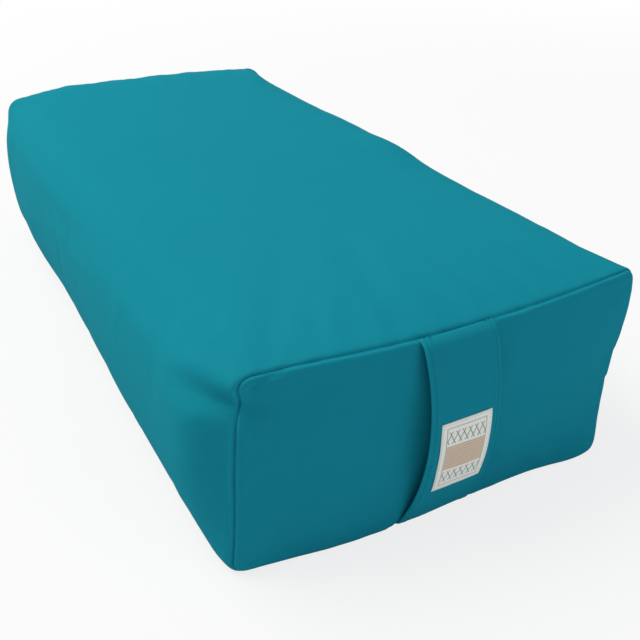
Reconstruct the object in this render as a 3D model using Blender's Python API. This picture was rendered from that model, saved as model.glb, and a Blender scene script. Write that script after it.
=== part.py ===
"""Rectangular yoga bolster: zipped cotton cover, sewn-in strap handle, inner liner, batting and foam.

Metres, +Z up. X runs across the bolster towards the zipped side, Y runs along it from the
handle end to the plain end, and the base lies on Z = 0. Every cloth layer is the same crowned
cushion form, drawn at its own inset from the outer surface.
"""
import math

import bmesh
import bpy
import numpy as np

# Overall size, measured between the seams
LENGTH = 0.635
WIDTH = 0.305
HEIGHT = 0.150
CLEARANCE = 0.0003
CLOTH_CLEARANCE = 0.0008
CUT_OVERRUN = 0.010

# Crown and drawn-in edges of the stuffed form
SIDE_CROWN = 0.016
TOP_CROWN = 0.011
END_CROWN = 0.0105
TOP_END_BOW = 0.015
BASE_END_BOW = 0.008
TOP_EDGE_RADIUS = 0.029
BASE_EDGE_RADIUS = 0.012
END_EDGE_RADIUS = 0.010
STRAIGHT_SHARE = 0.66
FULLNESS_POWER = 5.5
END_BOW_POWER = 12
END_CROWN_POWER = 0.7
TOP_CROWN_POWER = 4
SIDE_CROWN_POWER = 0.65

# Cover cloth and its seam allowance
COVER_CLOTH = 0.0008
SEAM_ALLOWANCE = 0.010

# Strap handle on the front end
HANDLE_WIDTH = 0.058
HANDLE_CENTRE_X = -0.004
HANDLE_CLOTH = 0.0016
HANDLE_STAND_OFF = 0.009
HANDLE_TAIL = 0.020

# Woven label on the strap
LABEL_WIDTH = 0.038
LABEL_HEIGHT = 0.058
LABEL_CLOTH = 0.0004
LABEL_CENTRE_X = -0.004
LABEL_CENTRE_Z = 0.065

# Zip in the long side
ZIP_CHAIN_LENGTH = 0.400
ZIP_SLOT_HEIGHT = 0.010
ZIP_SLOT_END_GAP = 0.001
ZIP_TAPE_WIDTH = 0.012
ZIP_TAPE_CLOTH = 0.0005
ZIP_TAPE_END = 0.004
ZIP_COIL_WIDTH = 0.0023
ZIP_COIL_HEIGHT = 0.0010
ZIP_COIL_SPACING = 0.0014
ZIP_STOP_LENGTH = 0.002
ZIP_STOP_RISE = 0.0007

# Slider of the zip
SLIDER_LENGTH = 0.009
SLIDER_TOP_PLATE = 0.0012
SLIDER_LOWER_PLATE = 0.0007
SLIDER_CHEEK = 0.0009
SLIDER_CHEEK_DROP = 0.0010
SLIDER_EDGE_BEVEL = 0.00015
BAIL_WIDTH = 0.0018
BAIL_OPENING_LENGTH = 0.0030
BAIL_OPENING_HEIGHT = 0.0019
BAIL_STOCK = 0.0010

# Pull tab of the slider
PULL_LENGTH = 0.024
PULL_BAR = 0.0012
PULL_ARM = 0.0012
PULL_ARM_CLEARANCE = 0.0004
PULL_SWING_CLEARANCE = 0.0008
PULL_THICKNESS = 0.0010
PULL_FLARE = 0.0007
PULL_EDGE_BEVEL = 0.0002

# Inner liner, batting and foam
LINER_CLOTH = 0.0006
BATTING = 0.014
PAD_FACE_GAP = 0.0012
FOAM_EDGE_RADIUS = 0.006

# Shares that place the points of the section and the stations along the length
BOTTOM_POINT_SHARES = (0.0, 0.55)
TOP_POINT_SHARES = (0.66, 0.33, 0.0)
SIDE_POINT_SHARES = (-1.0, 0.0, 1.0)
OUTER_STATION_SHARES = (0.66, 0.84, 0.92)
PANEL_RING_SHARES = (0.90, 0.70, 0.38)
STRAP_COLUMN_SHARES = (-1.0, 0.0, 1.0)
BASE_ARC_STEPS = 4
TOP_ARC_STEPS = 5
GRIP_STEPS = 10
TAIL_STEPS = 2
LABEL_STEPS = 4
PULL_END_STEPS = 8
EDGE_BEVEL_STEPS = 2
SHARP_ANGLE = math.radians(50)

# Places that follow from the sizes above
ZIP_LEVEL = HEIGHT / 2
COVER_PANEL_INSET = COVER_CLOTH + CLOTH_CLEARANCE
ZIP_TAPE_INSET = COVER_CLOTH + CLEARANCE
LINER_INSET = COVER_PANEL_INSET + HANDLE_CLOTH + CLOTH_CLEARANCE
LINER_PANEL_INSET = LINER_INSET + LINER_CLOTH + CLOTH_CLEARANCE
BATTING_INSET = LINER_PANEL_INSET + LINER_CLOTH + CLOTH_CLEARANCE
HOLLOW_INSET = BATTING_INSET + BATTING
SIDE_POINT_REACH = ZIP_COIL_SPACING / 2 + ZIP_TAPE_WIDTH + ZIP_COIL_SPACING
PULL_HALF_WIDTH = BAIL_WIDTH / 2 + PULL_ARM_CLEARANCE + PULL_ARM
PULL_AXIS_RISE = SLIDER_TOP_PLATE + BAIL_OPENING_HEIGHT / 2
SLIDER_TOP_INSET = ZIP_TAPE_INSET - 2 * CLEARANCE - ZIP_COIL_HEIGHT
SLIDER_REST_Y = -ZIP_CHAIN_LENGTH / 2 + ZIP_STOP_LENGTH + CLEARANCE + SLIDER_LENGTH / 2
ZIP_TRAVEL = ZIP_CHAIN_LENGTH - 2 * ZIP_STOP_LENGTH - 2 * CLEARANCE - SLIDER_LENGTH
HANDLE_REACH = COVER_PANEL_INSET + HANDLE_STAND_OFF + HANDLE_CLOTH + LABEL_CLOTH + 2 * CLEARANCE
BAIL_REACH = PULL_AXIS_RISE + BAIL_OPENING_HEIGHT / 2 + BAIL_STOCK - SLIDER_TOP_INSET


def clear_scene():
    """Remove what an opened file may hold."""
    for thing in list(bpy.data.objects):
        bpy.data.objects.remove(thing, do_unlink=True)


def cloth(name, colour, roughness, metallic=0.0):
    """Return a Principled material with one colour, roughness and metallic value."""
    material = bpy.data.materials.new(name)
    material.use_nodes = True
    shader = material.node_tree.nodes["Principled BSDF"]
    shader.inputs["Base Color"].default_value = (*colour, 1.0)
    shader.inputs["Roughness"].default_value = roughness
    shader.inputs["Metallic"].default_value = metallic
    return material


def arc(centre_x, centre_z, radius, start_degrees, end_degrees, steps):
    """Points (x, z) on an arc, both ends included."""
    turn = np.radians(np.linspace(start_degrees, end_degrees, steps + 1))
    return np.stack([centre_x + radius * np.cos(turn), centre_z + radius * np.sin(turn)], axis=1)


def outline(half_width, low, high, base_radius, top_radius):
    """A rounded rectangle of (x, z) points, from the base centre round by +X and the top."""
    base_x = np.array(BOTTOM_POINT_SHARES) * (half_width - base_radius)
    side_z = ZIP_LEVEL + np.array(SIDE_POINT_SHARES) * SIDE_POINT_REACH
    top_x = np.array(TOP_POINT_SHARES) * (half_width - top_radius)
    half = np.concatenate([
        np.stack([base_x, np.full(len(base_x), low)], axis=1),
        arc(half_width - base_radius, low + base_radius, base_radius, -90, 0, BASE_ARC_STEPS),
        np.stack([np.full(len(side_z), half_width), side_z], axis=1),
        arc(half_width - top_radius, high - top_radius, top_radius, 0, 90, TOP_ARC_STEPS),
        np.stack([top_x, np.full(len(top_x), high)], axis=1),
    ])
    mirrored = half[1:-1][::-1] * [-1, 1]
    return np.concatenate([half, mirrored])


def fullness(along):
    """One along the straight middle of the bolster, falling to nought at its end seams."""
    share = abs(along) / (LENGTH / 2)
    beyond = max(share - STRAIGHT_SHARE, 0) / (1 - STRAIGHT_SHARE)
    return 1 - beyond ** FULLNESS_POWER


def shares_of_section(x, z, inset):
    """Where a point lies in its layer: -1 to 1 across the width, 0 to 1 up the height."""
    across = x / (WIDTH / 2 - inset)
    up = (z - inset) / (HEIGHT - 2 * inset)
    return np.clip(across, -1, 1), np.clip(up, 0, 1)


def side_swell(up):
    """Outward swell of a long side at a share of the height: nought at both edges, full halfway."""
    return SIDE_CROWN * (4 * up * (1 - up)) ** SIDE_CROWN_POWER


def bowed_y(along, across, up):
    """Y of a layer near an end: its place along the bolster plus the bow, which grows with height."""
    share = abs(along) / (LENGTH / 2)
    bow = (BASE_END_BOW + (TOP_END_BOW - BASE_END_BOW) * up) * share ** END_BOW_POWER
    return along + math.copysign(1, along) * bow * (1 - across ** 2)


def end_face_y(x, z, inset):
    """Distance from mid-length to an end face: half length, less the inset, plus bow and crown."""
    across, up = shares_of_section(x, z, inset)
    crown = END_CROWN * ((1 - across ** 2) * 4 * up * (1 - up)) ** END_CROWN_POWER
    return bowed_y(LENGTH / 2 - inset, across, up) + crown


def ring(along, inset):
    """The crowned section of a layer at a distance from mid-length, as (x, y, z) points."""
    full = fullness(along)
    top_radius = END_EDGE_RADIUS + (TOP_EDGE_RADIUS - END_EDGE_RADIUS) * full - inset
    base_radius = END_EDGE_RADIUS + (BASE_EDGE_RADIUS - END_EDGE_RADIUS) * full - inset
    flat = outline(WIDTH / 2 - inset, inset, HEIGHT - inset, base_radius, top_radius)
    x, z = flat[:, 0], flat[:, 1]
    across, up = shares_of_section(x, z, inset)
    side = side_swell(up) * full * across ** 2 * np.sign(x)
    top = TOP_CROWN * full * (1 - across ** 2) * up ** TOP_CROWN_POWER
    return np.stack([x + side, bowed_y(along, across, up), z + top], axis=1)


def stations(inset):
    """Places along the bolster at which a layer has a ring, from the front to the rear."""
    rear = [share * LENGTH / 2 for share in OUTER_STATION_SHARES]
    rear += [LENGTH / 2 - SEAM_ALLOWANCE, LENGTH / 2 - inset]
    return [-along for along in reversed(rear)] + rear


def long_side_x(z, inset):
    """X of the straight middle of the +X side wall of a layer at a height."""
    _, up = shares_of_section(np.zeros_like(z), z, inset)
    return WIDTH / 2 - inset + side_swell(up)


def strap_y(z, lift):
    """Y of a strap surface at a height, lifted off the front panel by its slack and a lift."""
    _, up = shares_of_section(np.zeros_like(z), z, COVER_PANEL_INSET)
    face = end_face_y(np.zeros_like(z), z, COVER_PANEL_INSET) + COVER_PANEL_INSET
    return -(face + HANDLE_STAND_OFF * np.sin(math.pi * up) + lift)


def grid_faces(row_count, column_count, rows_closed, columns_closed):
    """Quads over a grid of points, wound so that row step cross column step points outwards."""
    row_steps = row_count if rows_closed else row_count - 1
    column_steps = column_count if columns_closed else column_count - 1
    faces = []
    for row in range(row_steps):
        for column in range(column_steps):
            next_row = (row + 1) % row_count
            next_column = (column + 1) % column_count
            faces.append((
                row * column_count + column,
                next_row * column_count + column,
                next_row * column_count + next_column,
                row * column_count + next_column,
            ))
    return faces


def pole_faces(first, count, pole):
    """Triangles from a closed row of points to a pole that ends the grid."""
    return [(first + step, pole, first + (step + 1) % count) for step in range(count)]


def make_object(name, points, faces, material, parent, location=(0, 0, 0)):
    """Make a smooth-shaded mesh object under its parent."""
    mesh = bpy.data.meshes.new(name)
    mesh.from_pydata([tuple(point) for point in points], [], faces)
    mesh.validate()
    mesh.shade_smooth()
    mesh.set_sharp_from_angle(angle=SHARP_ANGLE)
    made = bpy.data.objects.new(name, mesh)
    made.location = location
    made.parent = parent
    made.data.materials.append(material)
    bpy.context.scene.collection.objects.link(made)
    return made


def face_outwards(made):
    """Point the faces of a closed mesh outwards."""
    shape = bmesh.new()
    shape.from_mesh(made.data)
    bmesh.ops.recalc_face_normals(shape, faces=shape.faces)
    shape.to_mesh(made.data)
    shape.free()


def thicken(made, thickness):
    """Give a cloth surface its thickness, on its inner side."""
    modifier = made.modifiers.new("cloth", "SOLIDIFY")
    modifier.thickness = thickness
    modifier.offset = -1
    modifier.use_even_offset = True


def bevel(made, width):
    """Round the sharp edges of a small hard piece."""
    modifier = made.modifiers.new("edges", "BEVEL")
    modifier.width = width
    modifier.segments = EDGE_BEVEL_STEPS
    modifier.limit_method = "ANGLE"
    modifier.angle_limit = SHARP_ANGLE


def box(name, low, high, material, parent, location=(0, 0, 0)):
    """A box between two corners, which are given from the object's own origin."""
    corners = [(x, y, z) for x in (low[0], high[0]) for y in (low[1], high[1]) for z in (low[2], high[2])]
    faces = [(0, 1, 3, 2), (4, 6, 7, 5), (0, 4, 5, 1), (2, 3, 7, 6), (0, 2, 6, 4), (1, 5, 7, 3)]
    return make_object(name, corners, faces, material, parent, location)


def combine(made, tool, operation):
    """Join a tool to an object, or cut it out, and keep the tool as a hidden guide."""
    modifier = made.modifiers.new(tool.name, "BOOLEAN")
    modifier.operation = operation
    modifier.solver = "EXACT"
    modifier.object = tool
    tool.hide_render = True
    tool.display_type = "WIRE"


def layer_tube(name, inset, thickness, material, parent):
    """A cloth tube round the bolster: one ring for each station, thickened inwards."""
    rows = np.array([ring(along, inset) for along in stations(inset)])
    faces = grid_faces(rows.shape[0], rows.shape[1], False, True)
    made = make_object(name, rows.reshape(-1, 3), faces, material, parent)
    thicken(made, thickness)
    return made


def end_panel(name, end, inset, thickness, material, parent):
    """An end panel with its seam allowance turned in: a crowned tray that fits inside its tube."""
    edge = ring(end * (LENGTH / 2 - inset), inset)
    middle = np.array([0, HEIGHT / 2])
    rows = [ring(end * (LENGTH / 2 - SEAM_ALLOWANCE), inset), edge]
    for share in PANEL_RING_SHARES:
        flat = middle + share * (edge[:, [0, 2]] - middle)
        face = end * end_face_y(flat[:, 0], flat[:, 1], inset)
        rows.append(np.stack([flat[:, 0], face, flat[:, 1]], axis=1))
    pole = np.array([0, end * end_face_y(middle[0], middle[1], inset), middle[1]])
    count = len(edge)
    points = np.concatenate([*rows, pole[None]])
    faces = grid_faces(len(rows), count, False, True)
    faces += pole_faces((len(rows) - 1) * count, count, len(rows) * count)
    if end < 0:
        faces = [tuple(reversed(face)) for face in faces]
    made = make_object(name, points, faces, material, parent)
    thicken(made, thickness)
    return made


def cover(material, guide, parent):
    """The outer cover: one wrap with a slot for the zip, and two end panels."""
    wrap = layer_tube("cover_wrap", 0.0, COVER_CLOTH, material, parent)
    slot_half_length = ZIP_CHAIN_LENGTH / 2 + ZIP_SLOT_END_GAP
    slot = box(
        "zip_slot_guide",
        (WIDTH / 2 - CUT_OVERRUN, -slot_half_length, ZIP_LEVEL - ZIP_SLOT_HEIGHT / 2),
        (WIDTH / 2 + SIDE_CROWN + CUT_OVERRUN, slot_half_length, ZIP_LEVEL + ZIP_SLOT_HEIGHT / 2),
        guide, parent,
    )
    combine(wrap, slot, "DIFFERENCE")
    front = end_panel("cover_front_panel", -1, COVER_PANEL_INSET, COVER_CLOTH, material, parent)
    end_panel("cover_rear_panel", 1, COVER_PANEL_INSET, COVER_CLOTH, material, parent)
    notch_half_width = HANDLE_WIDTH / 2 + CLEARANCE
    notch_depth = COVER_PANEL_INSET + HANDLE_CLOTH + CLEARANCE
    for name, low, high in (
        ("upper_notch_guide", HEIGHT - notch_depth, HEIGHT + TOP_CROWN + CUT_OVERRUN),
        ("lower_notch_guide", -CUT_OVERRUN, notch_depth),
    ):
        notch = box(
            name,
            (HANDLE_CENTRE_X - notch_half_width, -LENGTH / 2 - TOP_END_BOW - END_CROWN - CUT_OVERRUN, low),
            (HANDLE_CENTRE_X + notch_half_width, -LENGTH / 2 + SEAM_ALLOWANCE + CUT_OVERRUN, high),
            guide, parent,
        )
        combine(front, notch, "DIFFERENCE")


def strap_piece(name, rows, thickness, material, parent, origin):
    """A run of flat strap: rows of points across its width, thickened inwards."""
    rows = np.array(rows)
    faces = grid_faces(rows.shape[0], rows.shape[1], False, False)
    points = rows.reshape(-1, 3) - np.array(origin)
    made = make_object(name, points, faces, material, parent, origin)
    thicken(made, thickness)
    return made


def strap_rows(heights, half_width, centre_x, lift):
    """Rows across a strap at a list of heights, on the strap's outer curve."""
    across = centre_x + np.array(STRAP_COLUMN_SHARES) * half_width
    rows = []
    for height in heights:
        level = np.full(len(across), height)
        rows.append(np.stack([across, strap_y(level, lift), level], axis=1))
    return rows


def sewn_in_rows(top):
    """Rows of a strap tail inside the seam, from the end of its hem out to the seam."""
    across = HANDLE_CENTRE_X + np.array(STRAP_COLUMN_SHARES) * HANDLE_WIDTH / 2
    level = HEIGHT - COVER_PANEL_INSET if top else COVER_PANEL_INSET
    share, up = shares_of_section(across, np.full(len(across), level), COVER_PANEL_INSET)
    rows = []
    for inwards in (SEAM_ALLOWANCE, COVER_PANEL_INSET):
        along = inwards - LENGTH / 2
        rise = TOP_CROWN * fullness(along) * (1 - share ** 2) * up ** TOP_CROWN_POWER
        rows.append(np.stack([across, bowed_y(along, share, up), level + rise], axis=1))
    return rows


def handle(strap, woven, parent):
    """The strap sewn into the top and bottom end seams, its free grip, and the label on it."""
    top_level = HEIGHT - COVER_PANEL_INSET
    base_level = COVER_PANEL_INSET
    grip_top = top_level - HANDLE_TAIL
    grip_base = base_level + HANDLE_TAIL
    half_width = HANDLE_WIDTH / 2
    lift = CLEARANCE + HANDLE_CLOTH
    upper_heights = np.linspace(top_level, grip_top + CLEARANCE, TAIL_STEPS + 1)
    upper = sewn_in_rows(True) + strap_rows(upper_heights, half_width, HANDLE_CENTRE_X, lift)
    seam = (HANDLE_CENTRE_X, -LENGTH / 2, 0)
    strap_piece("handle_upper_tail", upper, HANDLE_CLOTH, strap, parent, seam)
    lower_heights = np.linspace(grip_base - CLEARANCE, base_level, TAIL_STEPS + 1)
    lower = strap_rows(lower_heights, half_width, HANDLE_CENTRE_X, lift) + sewn_in_rows(False)[::-1]
    strap_piece("handle_lower_tail", lower, HANDLE_CLOTH, strap, parent, seam)
    grip_heights = np.linspace(grip_top, grip_base, GRIP_STEPS + 1)
    grip_rows = strap_rows(grip_heights, half_width, HANDLE_CENTRE_X, lift)
    rest = (HANDLE_CENTRE_X, float(strap_y(np.array([HEIGHT / 2]), lift)[0]), HEIGHT / 2)
    grip = strap_piece("handle_grip", grip_rows, HANDLE_CLOTH, strap, parent, rest)
    label_heights = LABEL_CENTRE_Z + np.linspace(0.5, -0.5, LABEL_STEPS + 1) * LABEL_HEIGHT
    label_rows = strap_rows(label_heights, LABEL_WIDTH / 2, LABEL_CENTRE_X, lift + CLEARANCE + LABEL_CLOTH)
    label = strap_piece("handle_label", label_rows, LABEL_CLOTH, woven, parent, rest)
    label.parent = grip
    label.location = (0, 0, 0)


def zip_strip(name, side, near, far, inset, thickness, half_length, material, parent):
    """A straight strip on the +X side: a thin band above or below the zip's centre line."""
    heights = ZIP_LEVEL + side * np.array([near, (near + far) / 2, far])
    outer_x = long_side_x(heights, inset)
    inner_x = outer_x - thickness
    profile = np.concatenate([
        np.stack([outer_x, heights], axis=1),
        np.stack([inner_x, heights], axis=1)[::-1],
    ])
    rows = []
    for along in (-half_length, half_length):
        rows.append(np.stack([profile[:, 0], np.full(len(profile), along), profile[:, 1]], axis=1))
    count = len(profile)
    faces = grid_faces(2, count, False, True)
    faces += [tuple(range(count)), tuple(reversed(range(count, 2 * count)))]
    made = make_object(name, np.concatenate(rows), faces, material, parent)
    face_outwards(made)
    return made


def zip_chain(tape, coil, metal, parent):
    """Two tapes and two coils, closed, with a stop across each end."""
    tape_half = ZIP_CHAIN_LENGTH / 2 + ZIP_TAPE_END
    coil_half = ZIP_CHAIN_LENGTH / 2 - ZIP_STOP_LENGTH - CLEARANCE
    near = ZIP_COIL_SPACING / 2
    coil_inset = ZIP_TAPE_INSET - CLEARANCE - ZIP_COIL_HEIGHT
    for place, side in (("upper", 1), ("lower", -1)):
        zip_strip(
            f"zip_tape_{place}", side, near, near + ZIP_TAPE_WIDTH,
            ZIP_TAPE_INSET, ZIP_TAPE_CLOTH, tape_half, tape, parent,
        )
        zip_strip(
            f"zip_coil_{place}", side, near, near + ZIP_COIL_WIDTH,
            coil_inset, ZIP_COIL_HEIGHT, coil_half, coil, parent,
        )
    stop_half_width = near + ZIP_COIL_WIDTH
    seat_x = float(long_side_x(np.array([ZIP_LEVEL]), ZIP_TAPE_INSET)[0]) + CLEARANCE
    for name, start in (
        ("zip_top_stop", -ZIP_CHAIN_LENGTH / 2),
        ("zip_bottom_stop", ZIP_CHAIN_LENGTH / 2 - ZIP_STOP_LENGTH),
    ):
        stop = box(
            name,
            (0, 0, -stop_half_width),
            (ZIP_COIL_HEIGHT + ZIP_STOP_RISE, ZIP_STOP_LENGTH, stop_half_width),
            metal, parent, (seat_x, start, ZIP_LEVEL),
        )
        bevel(stop, SLIDER_EDGE_BEVEL)


def slider(metal, guide, parent):
    """The slider: two plates joined by a neck between the coils, cheeks, and a bail on top."""
    seat_x = float(long_side_x(np.array([ZIP_LEVEL]), SLIDER_TOP_INSET)[0])
    origin = (seat_x, SLIDER_REST_Y, ZIP_LEVEL)
    half_length = SLIDER_LENGTH / 2
    cheek_inner = ZIP_COIL_SPACING / 2 + ZIP_COIL_WIDTH + CLEARANCE
    half_width = cheek_inner + SLIDER_CHEEK
    neck_half = ZIP_COIL_SPACING / 2 - CLEARANCE
    lower_top = -(2 * CLEARANCE + ZIP_COIL_HEIGHT + ZIP_TAPE_CLOTH + CLEARANCE)
    lower_base = lower_top - SLIDER_LOWER_PLATE
    body = box(
        "zip_slider", (0, -half_length, -half_width), (SLIDER_TOP_PLATE, half_length, half_width),
        metal, parent, origin,
    )
    middle = SLIDER_TOP_PLATE / 2
    bail_base = SLIDER_TOP_PLATE - SLIDER_EDGE_BEVEL
    bail_roof = SLIDER_TOP_PLATE + BAIL_OPENING_HEIGHT
    leg_inner = BAIL_OPENING_LENGTH / 2
    leg_outer = leg_inner + BAIL_STOCK
    bail_half = BAIL_WIDTH / 2
    pieces = (
        ("slider_lower_guide", (lower_base, -half_length, -half_width), (lower_top, half_length, half_width)),
        ("slider_neck_guide", (lower_base + SLIDER_LOWER_PLATE / 2, -half_length / 2, -neck_half),
         (middle, half_length / 2, neck_half)),
        ("slider_upper_cheek_guide", (-SLIDER_CHEEK_DROP, -half_length, cheek_inner),
         (middle, half_length, half_width)),
        ("slider_lower_cheek_guide", (-SLIDER_CHEEK_DROP, -half_length, -half_width),
         (middle, half_length, -cheek_inner)),
        ("bail_front_leg_guide", (bail_base, -leg_outer, -bail_half),
         (bail_roof + BAIL_STOCK, -leg_inner, bail_half)),
        ("bail_rear_leg_guide", (bail_base, leg_inner, -bail_half),
         (bail_roof + BAIL_STOCK, leg_outer, bail_half)),
        ("bail_roof_guide", (bail_roof, -leg_outer, -bail_half),
         (bail_roof + BAIL_STOCK, leg_outer, bail_half)),
    )
    for name, low, high in pieces:
        combine(body, box(name, low, high, guide, parent, origin), "UNION")
    return body


def pull(metal, guide, slider_body):
    """The pull tab: a bar inside the bail, two arms round it, and a flat tab with a round end."""
    reach = BAIL_OPENING_LENGTH / 2 + BAIL_STOCK
    window_end = math.hypot(reach, BAIL_OPENING_HEIGHT / 2 + BAIL_STOCK) + PULL_SWING_CLEARANCE
    half_width = PULL_HALF_WIDTH
    end_radius = half_width + PULL_FLARE
    turn = np.radians(np.linspace(-90, 90, PULL_END_STEPS + 1))
    round_end = np.stack([
        PULL_LENGTH - end_radius + end_radius * np.cos(turn),
        end_radius * np.sin(turn),
    ], axis=1)
    heel = np.array([[-PULL_BAR / 2, half_width], [-PULL_BAR / 2, -half_width]])
    flat = np.concatenate([round_end, heel])
    rows = []
    for rise in (-PULL_THICKNESS / 2, PULL_THICKNESS / 2):
        rows.append(np.stack([np.full(len(flat), rise), flat[:, 0], flat[:, 1]], axis=1))
    count = len(flat)
    faces = grid_faces(2, count, False, True)
    faces += [tuple(range(count)), tuple(reversed(range(count, 2 * count)))]
    tab = make_object(
        "zip_pull", np.concatenate(rows), faces, metal, slider_body, (PULL_AXIS_RISE, 0, 0)
    )
    face_outwards(tab)
    window = box(
        "pull_window_guide",
        (-PULL_THICKNESS, PULL_BAR / 2, -half_width + PULL_ARM),
        (PULL_THICKNESS, window_end, half_width - PULL_ARM),
        guide, slider_body, (PULL_AXIS_RISE, 0, 0),
    )
    combine(tab, window, "DIFFERENCE")
    bevel(tab, PULL_EDGE_BEVEL)


def liner(material, parent):
    """The inner liner: a tube and two end panels of plain cotton."""
    layer_tube("liner_wrap", LINER_INSET, LINER_CLOTH, material, parent)
    for place, end in (("front", -1), ("rear", 1)):
        end_panel(f"liner_{place}_panel", end, LINER_PANEL_INSET, LINER_CLOTH, material, parent)


def hollow_outline(gap):
    """The rounded rectangle that the batting leaves for the foam, drawn in by a gap."""
    radius = FOAM_EDGE_RADIUS
    inset = HOLLOW_INSET + gap
    return outline(WIDTH / 2 - inset, inset, HEIGHT - inset, radius, radius)


def batting(material, parent):
    """The batting: a sleeve from the liner in to the foam, and a crowned pad over each end of it."""
    outer = np.array([ring(along, BATTING_INSET) for along in stations(BATTING_INSET)])
    hollow = hollow_outline(0)
    across, up = shares_of_section(hollow[:, 0], hollow[:, 1], BATTING_INSET)
    inner = []
    for along in reversed(stations(BATTING_INSET)):
        inner.append(np.stack([hollow[:, 0], bowed_y(along, across, up), hollow[:, 1]], axis=1))
    rows = np.concatenate([outer, np.array(inner)])
    faces = grid_faces(rows.shape[0], rows.shape[1], True, True)
    sleeve = make_object("batting_sleeve", rows.reshape(-1, 3), faces, material, parent)
    face_outwards(sleeve)
    foam_half = LENGTH / 2 - HOLLOW_INSET
    face_inset = BATTING_INSET + PAD_FACE_GAP
    edge = hollow_outline(CLEARANCE)
    middle = np.array([0, HEIGHT / 2])
    for place, end in (("front", -1), ("rear", 1)):
        back_y = end * (foam_half + CLEARANCE)
        rows = [np.stack([edge[:, 0], np.full(len(edge), back_y), edge[:, 1]], axis=1)]
        for share in (1.0, *PANEL_RING_SHARES):
            flat = middle + share * (edge - middle)
            face = end * end_face_y(flat[:, 0], flat[:, 1], face_inset)
            rows.append(np.stack([flat[:, 0], face, flat[:, 1]], axis=1))
        count = len(edge)
        front_pole = np.array([0, end * end_face_y(middle[0], middle[1], face_inset), middle[1]])
        back_pole = np.array([0, back_y, middle[1]])
        points = np.concatenate([*rows, front_pole[None], back_pole[None]])
        faces = grid_faces(len(rows), count, False, True)
        faces += pole_faces((len(rows) - 1) * count, count, len(rows) * count)
        faces += [tuple(reversed(face)) for face in pole_faces(0, count, len(rows) * count + 1)]
        pad = make_object(f"batting_{place}_pad", points, faces, material, parent)
        face_outwards(pad)


def foam(material, parent):
    """Two foam slabs, one on the other, in the hollow of the batting."""
    half_width = WIDTH / 2 - HOLLOW_INSET - CLEARANCE
    half_length = LENGTH / 2 - HOLLOW_INSET
    base = HOLLOW_INSET + CLEARANCE
    slab = (HEIGHT - 2 * base - CLEARANCE) / 2
    for place, low in (("lower", base), ("upper", base + slab + CLEARANCE)):
        made = box(
            f"foam_slab_{place}",
            (-half_width, -half_length, 0), (half_width, half_length, slab),
            material, parent, (0, 0, low),
        )
        bevel(made, FOAM_EDGE_RADIUS)


def build_bolster():
    """Make every piece under one empty, which centres the whole object over the origin."""
    clear_scene()
    teal_canvas = cloth("teal canvas", (0.009, 0.235, 0.300), 0.85)
    plain_cotton = cloth("unbleached cotton", (0.78, 0.74, 0.65), 0.9)
    white_batting = cloth("cotton batting", (0.86, 0.85, 0.80), 0.95)
    cream_foam = cloth("cream foam", (0.80, 0.72, 0.50), 0.9)
    woven_label = cloth("woven label", (0.80, 0.76, 0.70), 0.8)
    zip_tape = cloth("zip tape", (0.008, 0.200, 0.260), 0.8)
    zip_coil = cloth("zip coil", (0.010, 0.210, 0.270), 0.45)
    nickel = cloth("nickel", (0.62, 0.60, 0.57), 0.3, 1.0)
    guide = cloth("guide", (1.0, 0.5, 0.0), 0.5)
    bolster = bpy.data.objects.new("bolster", None)
    bolster.location = (-BAIL_REACH / 2, HANDLE_REACH / 2, 0)
    bpy.context.scene.collection.objects.link(bolster)
    cover(teal_canvas, guide, bolster)
    handle(teal_canvas, woven_label, bolster)
    zip_chain(zip_tape, zip_coil, nickel, bolster)
    slider_body = slider(nickel, guide, bolster)
    pull(nickel, guide, slider_body)
    liner(plain_cotton, bolster)
    batting(white_batting, bolster)
    foam(cream_foam, bolster)


build_bolster()
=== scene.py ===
"""Looks of the rectangular yoga bolster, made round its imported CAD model.

Metres, +Z up, in the frame of the CAD. The cover is one crowned form, worked out as surfaces of two
parameters, let out by a short cloth simulation, drawn in at its corners and nipped along its seams.
"""
import math

import bpy
import numpy as np
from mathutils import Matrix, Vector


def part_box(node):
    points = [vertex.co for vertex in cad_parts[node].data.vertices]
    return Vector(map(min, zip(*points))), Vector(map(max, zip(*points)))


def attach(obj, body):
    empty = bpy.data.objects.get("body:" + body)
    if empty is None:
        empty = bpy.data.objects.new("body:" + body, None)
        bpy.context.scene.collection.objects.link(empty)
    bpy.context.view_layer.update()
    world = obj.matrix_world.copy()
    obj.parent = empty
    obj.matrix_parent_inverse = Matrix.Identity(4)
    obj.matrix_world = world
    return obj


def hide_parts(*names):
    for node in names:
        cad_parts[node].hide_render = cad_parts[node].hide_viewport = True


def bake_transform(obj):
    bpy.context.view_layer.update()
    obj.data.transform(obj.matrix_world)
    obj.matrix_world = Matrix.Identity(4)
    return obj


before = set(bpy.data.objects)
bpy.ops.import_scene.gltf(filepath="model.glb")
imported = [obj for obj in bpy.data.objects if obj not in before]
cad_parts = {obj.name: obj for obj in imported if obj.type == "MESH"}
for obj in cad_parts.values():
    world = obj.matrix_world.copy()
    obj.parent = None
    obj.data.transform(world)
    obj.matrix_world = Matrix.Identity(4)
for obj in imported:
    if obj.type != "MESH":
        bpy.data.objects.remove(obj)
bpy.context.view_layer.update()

# The stuffed form, with the same sizes as the CAD
LENGTH = 0.635
WIDTH = 0.305
HEIGHT = 0.150
HALF_LENGTH = LENGTH / 2
SIDE_CROWN = 0.016
SIDE_CROWN_POWER = 0.65
TOP_CROWN = 0.011
TOP_CROWN_POWER = 4
END_CROWN = 0.0105
END_CROWN_POWER = 0.7
TOP_END_BOW = 0.015
BASE_END_BOW = 0.008
END_BOW_POWER = 12
TOP_EDGE_RADIUS = 0.029
BASE_EDGE_RADIUS = 0.012
END_EDGE_RADIUS = 0.010
STRAIGHT_SHARE = 0.66
FULLNESS_POWER = 5.5
LEAST_RADIUS = 0.002
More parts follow.
